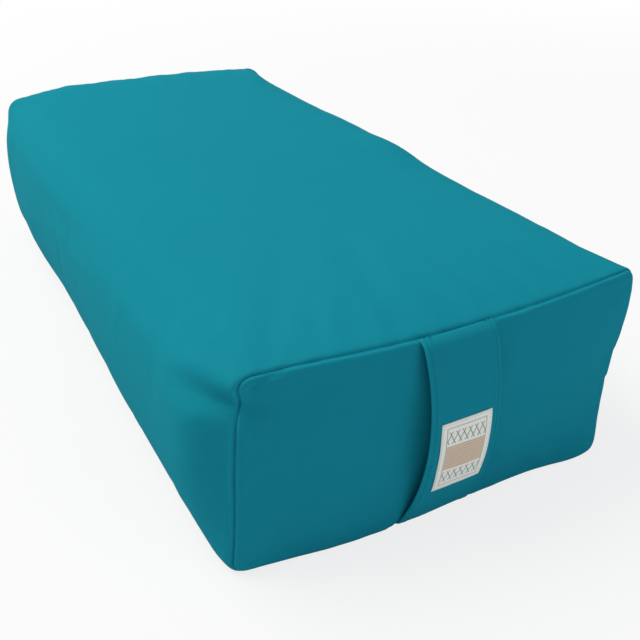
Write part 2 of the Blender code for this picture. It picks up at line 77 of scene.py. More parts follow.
wrap_low, wrap_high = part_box("cover_wrap")
MIDDLE = np.array([(wrap_low.x + wrap_high.x) / 2, (wrap_low.y + wrap_high.y) / 2, 0.0])

# Corners drawn in by the filling: side, end, level, and the draw in metres
CORNER_DRAWS = (
    (-1, -1, 0, (0.0006, 0.0021, 0.0)),
    (-1, -1, 1, (0.0135, 0.0044, -0.0013)),
    (-1, 1, 0, (-0.0050, -0.0005, 0.0)),
    (-1, 1, 1, (-0.0010, -0.0054, -0.0037)),
    (1, -1, 0, (-0.0140, -0.0080, 0.0)),
    (1, -1, 1, (-0.0015, -0.0046, -0.0001)),
    (1, 1, 0, (0.0001, 0.0, 0.0)),
    (1, 1, 1, (0.0026, -0.0026, -0.0008)),
)
CORNER_SIDE_POWER = 3
CORNER_END_POWER = 6

# Seams
SEAM_GAPS = (
    0.00015, 0.0002, 0.00025, 0.0003, 0.00035, 0.00045, 0.0006,
    0.0008, 0.0010, 0.0010, 0.0010, 0.0010, 0.0012, 0.0016,
)
SEAM_DISTANCES = np.concatenate([[0.0], np.cumsum(SEAM_GAPS)])
SEAM_NIP_DEPTH = 0.0019
SEAM_NIP_REACH = 0.0014
PUCKER_HEIGHT = 0.00045
PUCKER_REACH = 0.0055
RIPPLE_WAVES = (24, 80)
RIPPLE_SINES = 9
RIPPLE_GAIN = 1.6
ALLOWANCE_PLACE = 0.0062
ALLOWANCE_HEIGHT = 0.00030
ALLOWANCE_WIDTH = 0.0011
NIP_POWER = 1.3
NIP_VARIATION = 0.25
END_CROWN_START = 0.001
SETTLED_FADE = 0.004
SHARED_DIRECTION_REACH = 0.003
WEAR_PLACE = 0.0016
WEAR_WIDTH = 0.0012

# The zip's slot and its hem in the long side
ZIP_LEVEL = HEIGHT / 2
SLOT_HALF_HEIGHT = 0.005
SLOT_HALF_LENGTH = 0.201
SLOT_DEPTH = 0.0029
HEM_DISTANCES = np.array([
    -0.0016, -0.0009, -0.0004, 0.0, 0.0003, 0.0007, 0.0013, 0.0022,
    0.0031, 0.0036, 0.0041, 0.0047, 0.0060, 0.0078,
])
HEM_HEIGHT = 0.0006
HEM_START = -0.0006
HEM_START_FADE = 0.0018
HEM_END = 0.0055
HEM_END_FADE = 0.002
HEM_STITCH_DISTANCE = 0.0036
HEM_DIP_DEPTH = 0.00045
HEM_DIP_WIDTH = 0.0006
CHANNEL_START = 0.0002
CHANNEL_FADE = 0.0011
ZIP_SIDE_X = 0.1

# The plain cloth round the zip, where the wrap stays calm
CALM_HALF_HEIGHT = 0.013
CALM_PAST_SLOT = 0.006
CALM_X = 0.135
CALM_FADE = 0.03

# Grid of the cover
ROW_SPACING = 0.0030
LEAST_ROW_GAP = 0.0014
WRAP_GIRTH = 0.904
BASE_STEPS = 34
BASE_ARC_STEPS = 12
LOWER_SIDE_STEPS = 11
UPPER_SIDE_STEPS = 15
TOP_ARC_STEPS = 20
TOP_STEPS = 40
PANEL_RINGS = 46

# Grid and strength of the cloth simulation
SETTLE_ROWS = 116
SETTLE_COLUMNS = 160
SETTLE_RINGS = 14
SETTLE_POLE_SHARE = 0.12
SETTLE_FRAMES = 20
SETTLE_REACH = 0.0020
SETTLE_SHARE = 0.6
SLACK_REACH = 0.045
FLOOR_REACH = 0.0015
SEAM_TOUCH = 0.0001
BROAD_PASSES = 22
PANEL_GRID_STEP = 0.005
PANEL_GRID_X = np.arange(-0.175, 0.176, PANEL_GRID_STEP)
PANEL_GRID_Z = np.arange(-0.020, 0.171, PANEL_GRID_STEP)
PANEL_FINE_REACH = 0.0045
PANEL_BROAD_REACH = 0.022

# The cloth: held points don't move, and its slack is a negative shrink, most at the seams
CLOTH_SETTINGS = {
    "quality": 6,
    "mass": 0.2,
    "air_damping": 2.0,
    "tension_stiffness": 40,
    "compression_stiffness": 40,
    "shear_stiffness": 12,
    "bending_stiffness": 0.6,
    "use_pressure": True,
    "uniform_pressure_force": 4.0,
    "vertex_group_mass": "held",
    "vertex_group_shrink": "firm",
    "shrink_min": -0.022,
    "shrink_max": -0.004,
}

# The strap handle and its label, in the bolster's own axes
STRAP_LEFT = -0.0310
STRAP_RIGHT = 0.0205
STRAP_WAIST = 0.113
STRAP_LEFT_FLARE = -0.6
STRAP_RIGHT_SHIFT = -0.0030
STRAP_STAND_OFF = 0.009
STRAP_LIFT = 0.0019
STRAP_THICKNESS = 0.0016
STRAP_SPLIT = 0.065
STRAP_TOP = 0.1486
STRAP_BOTTOM = 0.0014
STRAP_TUCK = 0.0042
STRAP_TUCK_REACH = 0.0018
STRAP_TUCK_POWER = 1.2
STRAP_WAVE = 0.0004
STRAP_CUP = 0.0007
PANEL_CLEARANCE = 0.0004
PANEL_CLEARANCE_REACH = 0.008
PANEL_CLEARANCE_SLOPE = 0.5
LABEL_LOW = 0.0395
LABEL_HIGH = 0.0962
LABEL_LEFT = -0.0248
LABEL_RIGHT = 0.0128
LABEL_WIDTH = LABEL_RIGHT - LABEL_LEFT
LABEL_HEIGHT = LABEL_HIGH - LABEL_LOW
LABEL_THICKNESS = 0.0004
LABEL_CLEARANCE = 0.00014
LABEL_RIPPLE = 0.00012

# The strap's section: shares of its half width across, and of its thickness through
STRAP_HEM_PLACES = np.array([
    0.0, 0.010, 0.025, 0.045, 0.065, 0.080, 0.090, 0.100, 0.110, 0.125, 0.150, 0.185, 0.230,
])
STRAP_INNER_START = 0.30
STRAP_HEM_SHARE = 0.16
STRAP_HEM_FADE = 0.08
STRAP_HEM_RISE = 0.22
STRAP_DIP_PLACE = 0.095
STRAP_DIP_WIDTH = 0.016
STRAP_DIP_DEPTH = 0.30
STRAP_EDGE_DROP = 0.25
STRAP_EDGE_FADE = 0.012
STRAP_EDGE_BULGE = 0.022
STRAP_WEAR_SHARE = 0.02

# Stitches: the half length and half width of each kind, their steps and their insets
STRAP_STITCH = (0.00115, 0.00028)
STRAP_STITCH_STEP = 0.0031
STRAP_STITCH_INSET = 0.0027
LABEL_STITCH = (0.0009, 0.00022)
LABEL_STITCH_STEP = 0.0024
LABEL_STITCH_INSET = 0.0013
ZIP_STITCH = (0.0012, 0.00028)
ZIP_STITCH_STEP = 0.0032
STITCH_SIDES = 6
STITCH_RADII = (0.35, 0.8, 1.0, 0.8, 0.35)
STITCH_STEPS = (-0.93, -0.55, 0.0, 0.55, 0.93)

# The zip's tapes and teeth
TAPE_INSET = 0.00112
TAPE_THICKNESS = 0.0005
TAPE_RIPPLE = 0.00006
TAPE_RIPPLE_PITCH = 0.009
COIL_PITCH = 0.0014
COIL_HALF_DEPTH = 0.00030
COIL_HALF_WIDTH = 0.00125
COIL_LEAN = 0.0006
WIRE_RADIUS = 0.00030

# The woven cloths: scales of their noise, and what each pattern adds to the tone
SLUB_FINE_SCALE = 0.9
SLUB_LONG_SCALE = 0.025
MOTTLE_SCALE = 16.0
RUB_SCALE = 160.0
WEAVE_TONE = 0.06
RUB_TONE = 0.5
CLOTH_GLOSS = 0.015

# The label's weave
LABEL_GROUND = (0.96, 0.94, 0.88)
BORDER_INSET = 0.0042
BORDER_HALF_WIDTH = 0.0004
LOZENGE_WIDTH = 0.0047
LOZENGE_LINE = 0.16
LOZENGE_ROW_PLACE = 0.0165
BAND_HALF_HEIGHT = 0.0100
STRIPE_PITCH = 0.0011
LABEL_THREAD = 0.00028

# The filling: a tube's inset, thickness and gap at the ends, and an end pad's inset and thickness
LINER_TUBE = (0.0070, 0.0006, 0.0080)
LINER_END = (0.0080, 0.0006)
BATTING_TUBE = (0.0090, 0.0110, 0.0240)
BATTING_PAD = (0.0102, 0.0130)
FILLING_ROWS = 60
FOAM_OUTLINE_POWER = 0.06
FOAM_EDGE_POWER = 0.10
FOAM_RISE_POWER = 0.25
COARSE_COLUMNS = slice(None, None, 3)

# The studio
FLOOR_HALF_SIZE = 6
FLOOR_LEVEL = -0.0004
FLOOR_FADE = {"From Min": 0.7, "From Max": 2.2, "To Min": 0.80, "To Max": 1.0}
WORLD_COLOUR = (0.86, 0.96, 1.10)
WORLD_STRENGTH = 0.31
WHITE = (1.0, 1.0, 1.0)
LAMPS = (
    ("key", (-1.55, 1.60, 3.35), 2.8, 148.0, (1.0, 0.99, 0.88)),
    ("fill", (1.2, -2.2, 1.1), 1.6, 12.5, (0.95, 0.98, 1.0)),
)
CAMERA_LENS = 45.442
CAMERA_SENSOR = 36.0
CAMERA_PLACE = (-0.2726, -0.64785, 0.3959)
CAMERA_LOOKS_DOWN = 30.5155
CAMERA_TURN = -28.0856

draw = np.random.default_rng(20)


def smooth(value):
    """Zero below nought, one above one, and three squares less two cubes between them."""
    value = np.clip(value, 0, 1)
    return value * value * (3 - 2 * value)


def bell(gap, width):
    """A Gaussian of a gap: one at nought, falling to 1/e at the width."""
    return np.exp(-(gap / width) ** 2)


def unit(vectors):
    """The same vectors, each one long."""
    return vectors / np.maximum(np.linalg.norm(vectors, axis=-1, keepdims=True), 1e-12)


def section(base_radius, top_radius, inset):
    """Rounded rectangles, one row each, as x and z: from the base's middle round by +X and the top.

    Radii and inset are columns of values. A row is a base line, an arc, a side with close points at
    the zip's slot, an arc and a top line, and then its own mirror image.
    """
    half = WIDTH / 2 - inset
    low = inset
    high = HEIGHT - inset
    below = ZIP_LEVEL - SLOT_HALF_HEIGHT - HEM_DISTANCES[::-1]
    above = ZIP_LEVEL + SLOT_HALF_HEIGHT + HEM_DISTANCES
    slot = np.concatenate([below, [ZIP_LEVEL], above])[None, :]
    base = np.linspace(0, 1, BASE_STEPS, endpoint=False)
    base_turn = np.radians(np.linspace(-90, 0, BASE_ARC_STEPS))
    lower = np.linspace(0, 1, LOWER_SIDE_STEPS)[1:-1]
    upper = np.linspace(0, 1, UPPER_SIDE_STEPS)[1:-1]
    top_turn = np.radians(np.linspace(0, 90, TOP_ARC_STEPS))
    top = np.linspace(1, 0, TOP_STEPS + 1)[1:]
    base_x, base_z = half - base_radius, low + base_radius
    top_x, top_z = half - top_radius, high - top_radius
    parts = (
        (base_x * base, low),
        (base_x + base_radius * np.cos(base_turn), base_z + base_radius * np.sin(base_turn)),
        (half, base_z + (slot[:, :1] - base_z) * lower),
        (half, slot),
        (half, slot[:, -1:] + (top_z - slot[:, -1:]) * upper),
        (top_x + top_radius * np.cos(top_turn), top_z + top_radius * np.sin(top_turn)),
        (top_x * top, high),
    )
    x, z = np.concatenate([np.stack(np.broadcast_arrays(*part)) for part in parts], axis=2)
    return np.concatenate([x, -x[:, -2:0:-1]], axis=1), np.concatenate([z, z[:, -2:0:-1]], axis=1)


def fullness(along):
    """One along the straight middle, and one less a power of the share beyond it near the ends."""
    beyond = np.clip(np.abs(along) / HALF_LENGTH - STRAIGHT_SHARE, 0, None) / (1 - STRAIGHT_SHARE)
    return 1 - beyond ** FULLNESS_POWER


def side_swell(up):
    """Outward swell of a long side: a power of a parabola over its height."""
    return SIDE_CROWN * np.clip(4 * up * (1 - up), 0, None) ** SIDE_CROWN_POWER


def end_bow(across, up):
    """Outward bow of an end seam: more at the top than the base, falling as a parabola to the sides."""
    return (BASE_END_BOW + (TOP_END_BOW - BASE_END_BOW) * up) * (1 - across ** 2)


def end_crown(across, up):
    """Outward crown of an end panel: a power of the product of two parabolas."""
    product = np.clip((1 - across ** 2) * 4 * up * (1 - up), 0, None)
    return END_CROWN * product ** END_CROWN_POWER


def away_from_zip(x, along, z):
    """Nought over the zip and its hem, rising smoothly to one 30 mm away. The zip is in the +X side."""
    up_gap = np.clip(np.abs(z - ZIP_LEVEL) - CALM_HALF_HEIGHT, 0, None)
    along_gap = np.clip(np.abs(along) - SLOT_HALF_LENGTH - CALM_PAST_SLOT, 0, None)
    side_gap = np.clip(CALM_X - x, 0, None)
    return smooth(np.sqrt(up_gap ** 2 + along_gap ** 2 + side_gap ** 2) / CALM_FADE)


def corner_draw(across, share, up):
    """Sum of the draws of the eight corners, each weighted by how near a point is to that corner."""
    push = np.zeros(np.broadcast(across, share, up).shape + (3,))
    for side, end, level, vector in CORNER_DRAWS:
        by_side = np.clip((1 + side * across) / 2, 0, 1) ** CORNER_SIDE_POWER
        by_end = np.clip(end * share, 0, 1) ** CORNER_END_POWER
        by_level = up if level else 1 - up
        push += (by_side * by_end * by_level)[..., None] * np.array(vector)
    return push


def wrap_form(along, inset=0.0):
    """The wrap at rest: rounded rectangles along Y, crowned at the sides and top, bowed at the ends."""
    along = np.asarray(along, float)[:, None]
    full = fullness(along)
    top_radius = END_EDGE_RADIUS + (TOP_EDGE_RADIUS - END_EDGE_RADIUS) * full - inset
    base_radius = END_EDGE_RADIUS + (BASE_EDGE_RADIUS - END_EDGE_RADIUS) * full - inset
    top_radius = np.maximum(top_radius, LEAST_RADIUS)
    base_radius = np.maximum(base_radius, LEAST_RADIUS)
    x, z = section(base_radius, top_radius, np.full_like(along, inset))
    across = np.clip(x / (WIDTH / 2 - inset), -1, 1)
    up = np.clip((z - inset) / (HEIGHT - 2 * inset), 0, 1)
    share = along / HALF_LENGTH
    calm = away_from_zip(x, along, z)[..., None]
    x = x + side_swell(up) * full * across ** 2 * np.sign(x)
    z = z + TOP_CROWN * full * (1 - across ** 2) * up ** TOP_CROWN_POWER
    y = along + np.sign(along) * np.abs(share) ** END_BOW_POWER * end_bow(across, up)
    return np.stack([x, y, z], axis=2) + corner_draw(across, share, up) * calm + MIDDLE


def end_outline(inset):
    """The end seam's outline at one or more insets, as rows of x and z."""
    inset = np.asarray(inset, float).reshape(-1, 1)
    radius = np.maximum(END_EDGE_RADIUS - inset, LEAST_RADIUS)
    return section(radius, radius, inset)


def drawn_in(x, z, share):
    """An end outline at shares of its size, about the middle of the end panel."""
    return x * share, HEIGHT / 2 + (z - HEIGHT / 2) * share


def face_form(x, z, end, distance, inset=0.0):
    """An end panel at rest, at flat places: half length, bow and a crown that starts at the seam."""
    across = np.clip(x / (WIDTH / 2 - inset), -1, 1)
    up = np.clip((z - inset) / (HEIGHT - 2 * inset), 0, 1)
    crown = end_crown(across, up) * (1 - np.exp(-distance / END_CROWN_START))
    y = end * (HALF_LENGTH - inset + end_bow(across, up) + crown)
    share = np.full_like(across, end)
    return np.stack([x, y, z], axis=-1) + corner_draw(across, share, up) + MIDDLE


outline_x, outline_z = (part[0] for part in end_outline(0.0))
COLUMNS = len(outline_x)


def outline_normals():
    """Outward normals, in the plane of X and Z, of the end outline at each column."""
    step_x = np.roll(outline_x, -1) - np.roll(outline_x, 1)
    step_z = np.roll(outline_z, -1) - np.roll(outline_z, 1)
    return unit(np.stack([step_z, np.zeros(COLUMNS), -step_x], axis=1))


def column_shares():
    """Each column's share of the way round the middle section, by distance."""
    middle = wrap_form([0.0])[0]
    step = np.linalg.norm(np.roll(middle, -1, axis=0) - middle, axis=1)
    return np.concatenate([[0.0], np.cumsum(step)[:-1]]) / step.sum()


OUTLINE_NORMALS = outline_normals()
COLUMN_SHARES = column_shares()


def panel_rings():
    """Flat x and z of an end panel's rings, with each point's distance from the seam.

    The first rings follow the seam at set distances. The rest shrink towards the middle.
    """
    x, z = end_outline(SEAM_DISTANCES)
    share = np.linspace(1, 0.02, PANEL_RINGS)[1:, None]
    distance = np.ones_like(z) * SEAM_DISTANCES[:, None]
    further = (1 - share) * (HEIGHT / 2) + SEAM_DISTANCES[-1]
    distance = np.concatenate([distance, further * np.ones(COLUMNS)])
    inner_x, inner_z = drawn_in(x[-1], z[-1], share)
    return np.concatenate([x, inner_x]), np.concatenate([z, inner_z]), distance


def grid_faces(rows, columns, closed=True):
    """Quads over a grid, wound so that row step cross column step points outwards."""
    first = np.arange(rows - 1)[:, None] * columns
    column = np.arange(columns if closed else columns - 1)[None, :]
    after = (column + 1) % columns
    corners = (first + column, first + columns + column, first + columns + after, first + after)
    return np.stack(corners, axis=2).reshape(-1, 4)


def pole_faces(first, count, pole):
    """Triangles from a closed ring to its pole, wound as the grid above them is."""
    column = np.arange(count)
    return np.stack([first + column, np.full(count, pole), first + (column + 1) % count], axis=1)


def shell_faces(rows, columns, turn=1):
    """Faces over closed rings and over the two poles numbered after them. A turn of -1 winds them all
    the other way."""
    count = rows * columns
    first = pole_faces(0, columns, count)[:, ::-1]
    last = pole_faces(count - columns, columns, count + 1)
    caps = np.concatenate([first, last])[:, ::turn]
    return [*grid_faces(rows, columns)[:, ::turn].tolist(), *caps.tolist()]


def shell_points(rings):
    """The points of closed rings, and the middles of the first and last ring as their poles."""
    return np.concatenate([rings.reshape(-1, 3), rings[[0, -1]].mean(axis=1)])


def rim_faces(ring, count):
    """Quads from a closed ring of point numbers to the like ring that is numbered count higher."""
    after = np.roll(ring, -1)
    return np.stack([ring, after, after + count, ring + count], axis=1)


def link(name, data):
    """A new object for a mesh, lamp or camera, in the scene."""
    made = bpy.data.objects.new(name, data)
    bpy.context.scene.collection.objects.link(made)
    return made


# The cloth simulation
def coarse_cover():
    """The whole cover on a coarse grid: wrap rows, then front rings and rear rings with their poles.

    Returns the points, the faces, and the number of points in the wrap and in one panel.
    """
    wanted = np.arange(SETTLE_COLUMNS) / SETTLE_COLUMNS
    lines = np.append(COLUMN_SHARES, 1.0)
    every = np.concatenate([np.eye(COLUMNS), np.eye(COLUMNS)[:1]])
    mix = np.stack([np.interp(wanted, lines, every[:, column]) for column in range(COLUMNS)], axis=1)
    wrap = wrap_form(np.linspace(-HALF_LENGTH, HALF_LENGTH, SETTLE_ROWS))
    parts = [np.einsum("cf,rfk->rck", mix, wrap).reshape(-1, 3)]
    faces = [grid_faces(SETTLE_ROWS, SETTLE_COLUMNS).tolist()]
    share = np.linspace(1, SETTLE_POLE_SHARE, SETTLE_RINGS)[1:, None]
    wrap_count = SETTLE_ROWS * SETTLE_COLUMNS
    ring_count = (SETTLE_RINGS - 1) * SETTLE_COLUMNS
    for end, seam in ((-1, 0), (1, wrap_count - SETTLE_COLUMNS)):
        x, z = drawn_in(outline_x, outline_z, share)
        rings = np.einsum("cf,rfk->rck", mix, face_form(x, z, end, np.ones_like(x)))
        start = sum(len(part) for part in parts)
        pole = start + ring_count
        parts += [rings.reshape(-1, 3), rings[-1].mean(axis=0)[None]]
        number = np.concatenate([seam + np.arange(SETTLE_COLUMNS), start + np.arange(ring_count)])
        quads = number[grid_faces(SETTLE_RINGS, SETTLE_COLUMNS)]
        fan = pole_faces(start + ring_count - SETTLE_COLUMNS, SETTLE_COLUMNS, pole)
        turned = slice(None, None, end)
        faces += [quads[:, turned].tolist(), fan[:, turned].tolist()]
    return np.concatenate(parts), sum(faces, []), wrap_count, ring_count + 1


def add_weights(made, name, weights):
    """A vertex group, with its weights rounded to tenths."""
    group = made.vertex_groups.new(name=name)
    level = np.rint(np.clip(weights, 0, 1) * 10).astype(int)
    for step in range(1, 11):
        chosen = np.flatnonzero(level == step)
        if len(chosen):
            group.add(chosen.tolist(), step / 10, "REPLACE")


def blurred(grid):
    """A grid, closed across its columns, averaged with its neighbours again and again. Its first and
    last rows stay still."""
    for _ in range(BROAD_PASSES):
        taller = np.concatenate([grid[:1], grid, grid[-1:]])
        grid = (taller[:-2] + 2 * grid + taller[2:]) / 4
        grid = (np.roll(grid, 1, axis=1) + 2 * grid + np.roll(grid, -1, axis=1)) / 4
        grid[[0, -1]] = 0
    return grid


def capped(moved):
    """Moves with a soft cap on their length, which is a hyperbolic tangent."""
    far = np.linalg.norm(moved, axis=-1, keepdims=True)
    return moved * SETTLE_SHARE * SETTLE_REACH * np.tanh(far / SETTLE_REACH) / np.maximum(far, 1e-9)


def simulate(points, faces, held, firm):
    """Cloth under pressure for a few frames. Returns how far each point moved."""
    mesh = bpy.data.meshes.new("settling cover")
    mesh.from_pydata(points.tolist(), [], faces)
    made = link("settling cover", mesh)
    add_weights(made, "held", held)
    add_weights(made, "firm", firm)
    cloth = made.modifiers.new("settling", "CLOTH")
    for key, value in CLOTH_SETTINGS.items():
        setattr(cloth.settings, key, value)
    cloth.settings.effector_weights.gravity = 0
    cloth.collision_settings.use_collision = False
    cloth.point_cache.frame_start = 1
    cloth.point_cache.frame_end = SETTLE_FRAMES
    for step in range(1, SETTLE_FRAMES + 1):
        bpy.context.scene.frame_set(step)
    result = made.evaluated_get(bpy.context.evaluated_depsgraph_get()).data
    found = np.empty(len(points) * 3, np.float32)
    result.vertices.foreach_get("co", found)
    bpy.data.objects.remove(made)
    bpy.context.scene.frame_set(1)
    return found.reshape(-1, 3) - points


def near_average(places, values, wanted, reach):
    """Values averaged near each wanted flat place, weighted by a Gaussian of the distance."""
    gap = ((wanted[:, None] - places[None]) ** 2).sum(axis=2)
    weight = np.exp(-gap / (2 * reach ** 2))
    return weight @ values / weight.sum(axis=1, keepdims=True)


def panel_moves(places, moved):
    """A panel's moves on a square flat grid, less their broad swell: rows up, columns across."""
    z, x = np.meshgrid(PANEL_GRID_Z, PANEL_GRID_X, indexing="ij")
    wanted = np.stack([x.ravel(), z.ravel()], axis=1)
    near = near_average(places, moved, wanted, PANEL_FINE_REACH)
    broad = near_average(places, moved, wanted, PANEL_BROAD_REACH)
    return capped(near - broad).reshape(x.shape + (3,))


def settle():
    """Let the cover's cloth out against its filling: a coarse cover under pressure, held at its seams,
    its base and its zip, with slack cloth near the seams. Returns the moves of the wrap's grid and of
    each panel's flat grid, less the broad swell, which the rest form already has."""
    points, faces, wrap_count, panel_count = coarse_cover()
    local = points - MIDDLE
    wrap_gap = HALF_LENGTH - np.abs(np.linspace(-HALF_LENGTH, HALF_LENGTH, SETTLE_ROWS))
    ring_gap = np.linspace(0, 1 - SETTLE_POLE_SHARE, SETTLE_RINGS)[1:] * HEIGHT / 2
    panel_gap = np.append(np.repeat(ring_gap, SETTLE_COLUMNS), HEIGHT / 2)
    seam_gap = np.concatenate([np.repeat(wrap_gap, SETTLE_COLUMNS), panel_gap, panel_gap])
    calm = away_from_zip(local[:, 0], local[:, 1], local[:, 2])
    at_seam = (seam_gap < SEAM_TOUCH) * 1.0
    on_floor = (local[:, 2] < FLOOR_REACH) * 1.0
    held = np.maximum(np.maximum(at_seam, 1 - calm), on_floor)
    firm = 1 - bell(seam_gap, SLACK_REACH)
    moved = simulate(points, faces, held, firm)
    wrap = moved[:wrap_count].reshape(SETTLE_ROWS, SETTLE_COLUMNS, 3)
    grids = [capped(wrap - blurred(wrap))]
    for first in (wrap_count, wrap_count + panel_count):
        chosen = slice(first, first + panel_count)
        grids.append(panel_moves(local[chosen][:, [0, 2]], moved[chosen]))
    return grids


def spline_weights(share):
    """Cubic B-spline weights of the four grid lines round a place, from its share past the second."""
    return np.stack([
        (1 - share) ** 3,
        3 * share ** 3 - 6 * share ** 2 + 4,
        -3 * share ** 3 + 3 * share ** 2 + 3 * share + 1,
        share ** 3,
    ], axis=-1) / 6


def spline_at(grid, row_place, column_place):
    """A smooth surface through a coarse grid, which is closed across its columns."""
    row_place, column_place = np.broadcast_arrays(row_place, column_place)
    row = np.floor(row_place).astype(int)
    column = np.floor(column_place).astype(int)
    row_weights = spline_weights(row_place - row)
    column_weights = spline_weights(column_place - column)
    total = np.zeros(row_place.shape + (3,))
    for i in range(4):
        for j in range(4):
            weight = row_weights[..., i] * column_weights[..., j]
            near_row = np.clip(row + i - 1, 0, grid.shape[0] - 1)
            near_column = (column + j - 1) % grid.shape[1]
            total += weight[..., None] * grid[near_row, near_column]
    return total


# Soft shaping: gentle swells and hollows as a place, a radius and a push, in metres
LUMPS = (
    # The right long edge
    ((0.130, -0.030, 0.153), 0.026, (0.0010, 0.0, 0.0044)),
    ((0.130, 0.050, 0.153), 0.045, (0.0010, 0.0, 0.0028)),
    ((0.135, -0.235, 0.152), 0.025, (0.0, 0.0, 0.0010)),
    ((0.150, -0.318, 0.152), 0.020, (-0.0014, 0.0, -0.0004)),
    # The far top edge
    ((-0.090, 0.315, 0.150), 0.030, (0.0, 0.0005, 0.0032)),
    # The left side, low down
    ((-0.168, 0.180, 0.033), 0.045, (-0.0038, 0.0, 0.0)),
    ((-0.168, -0.120, 0.030), 0.050, (-0.0018, 0.0, 0.0)),
    ((-0.157, -0.297, 0.0), 0.012, (-0.0020, -0.0005, 0.0)),
    # The left side, behind the handle end's corner
    ((-0.166, -0.266, 0.112), 0.020, (-0.0034, 0.0, 0.0)),
    ((-0.166, -0.262, 0.060), 0.022, (-0.0022, 0.0, 0.0)),
    ((-0.160, -0.290, 0.110), 0.014, (-0.0034, 0.0, 0.0)),
    ((-0.162, -0.290, 0.080), 0.015, (-0.0032, 0.0, 0.0)),
    ((-0.148, -0.324, 0.154), 0.019, (0.0, 0.0010, -0.0062)),
    # The handle end
    ((-0.085, -0.319, 0.0), 0.032, (0.0, -0.0024, 0.0)),
    ((-0.040, -0.322, 0.0), 0.035, (0.0, -0.0022, 0.0)),
    ((0.115, -0.322, 0.0), 0.020, (0.0010, -0.0065, 0.0)),
    ((0.142, -0.317, 0.118), 0.020, (0.0034, -0.0010, 0.0)),
)

# Folds in the cloth: the points of each, its width and its depth
FRONT_CORNER_PINCH = (
    (-0.1640, -0.2450, 0.1200), (-0.1572, -0.2790, 0.1254), (-0.1487, -0.2991, 0.1262),
    (-0.1445, -0.3045, 0.1250), (-0.1365, -0.3100, 0.1249), (-0.1180, -0.3150, 0.1228),
)
FRONT_CORNER_ROLL = (
    (-0.1640, -0.2200, 0.1370), (-0.1590, -0.2650, 0.1385), (-0.1500, -0.2930, 0.1385),
    (-0.1440, -0.3040, 0.1385), (-0.1360, -0.3120, 0.1390),
)
UNDER_TOP_SEAM = (
    (-0.1400, -0.3075, 0.1345), (-0.1355, -0.3093, 0.1378), (-0.1311, -0.3105, 0.1404),
    (-0.1232, -0.3120, 0.1440), (-0.1120, -0.3140, 0.1460),
)
LEFT_SIDE_VALLEY = (
    (-0.1698, 0.1601, 0.0980), (-0.1674, 0.0250, 0.1168), (-0.1615, -0.0917, 0.1321),
    (-0.1525, -0.2068, 0.1406), (-0.1526, -0.2600, 0.1380),
)
RIGHT_NOTCHES = (
    ((0.1480, -0.3140, 0.0820), (0.1380, -0.3190, 0.0825), (0.1200, -0.3230, 0.0850)),
    ((0.1480, -0.3140, 0.0600), (0.1380, -0.3190, 0.0600), (0.1230, -0.3230, 0.0590)),
)
FOLDS = (
    (FRONT_CORNER_PINCH, 0.0090, 0.0050),
    (FRONT_CORNER_PINCH, 0.0022, 0.0007),
    (FRONT_CORNER_ROLL, 0.0090, -0.0030),
    (UNDER_TOP_SEAM, 0.0020, 0.0012),
    (LEFT_SIDE_VALLEY, 0.0120, 0.0015),
    (RIGHT_NOTCHES[0], 0.0034, 0.0014),
    (RIGHT_NOTCHES[1], 0.0034, 0.0014),
)


def shaped(points):
    """Add the listed lumps: each push is weighted by a Gaussian of the distance from its place."""
    push = np.zeros_like(points)
    for place_at, radius, vector in LUMPS:
        gap = ((points - np.array(place_at)) ** 2).sum(axis=-1)
        push += np.exp(-gap / (2 * radius ** 2))[..., None] * np.array(vector)
    return points + push


def grid_normals(points):
    """Unit normals of a grid closed across its columns: row step cross column step."""
    row_step = np.gradient(points, axis=0)
    column_step = np.roll(points, -1, axis=1) - np.roll(points, 1, axis=1)
    return unit(np.cross(row_step, column_step))


def folded(points, normals, distance, end):
    """Press each fold in along the normals: a Gaussian of the distance from a line of points, which
    dies away at the line's ends. At a seam, the wrap and the panel share one diagonal direction."""
    axial = np.asarray(end, float)[..., None] * np.array([0.0, 1.0, 0.0])
    at_seam = bell(distance, SHARED_DIRECTION_REACH)[..., None]
    normals = unit(normals * (1 - at_seam) + unit(OUTLINE_NORMALS + axial) * at_seam)
    press = np.zeros(points.shape[:-1])
    for line, width, depth in FOLDS:
        line = np.array(line)
        best = np.full(points.shape[:-1], 1.0)
        place_on = np.zeros(points.shape[:-1])
        for index in range(len(line) - 1):
            step = line[index + 1] - line[index]
            share = np.clip(((points - line[index]) @ step) / (step @ step), 0, 1)
            gap = np.linalg.norm(points - line[index] - share[..., None] * step, axis=-1)
            nearer = gap < best
            best = np.where(nearer, gap, best)
            place_on = np.where(nearer, (index + share) / (len(line) - 1), place_on)
        fade = smooth(place_on * 4) * smooth((1 - place_on) * 4)
        press += depth * bell(best, width) * fade
    return points - press[..., None] * normals


def seam_ripple():
    """A gathered seam's rise and fall round the outline: a sum of sines of whole wave numbers."""
    step = np.hypot(np.diff(outline_x, append=outline_x[0]), np.diff(outline_z, append=outline_z[0]))
    around = np.cumsum(step) / step.sum() * 2 * math.pi
    counts = draw.integers(*RIPPLE_WAVES, RIPPLE_SINES)
    phases = draw.uniform(0, 2 * math.pi, RIPPLE_SINES)
    swell = 0.6 + 0.4 * np.sin(3 * around + phases[0]) * np.sin(7 * around + phases[1])
    return swell * np.sin(counts[:, None] * around + phases[:, None]).mean(axis=0) * RIPPLE_GAIN


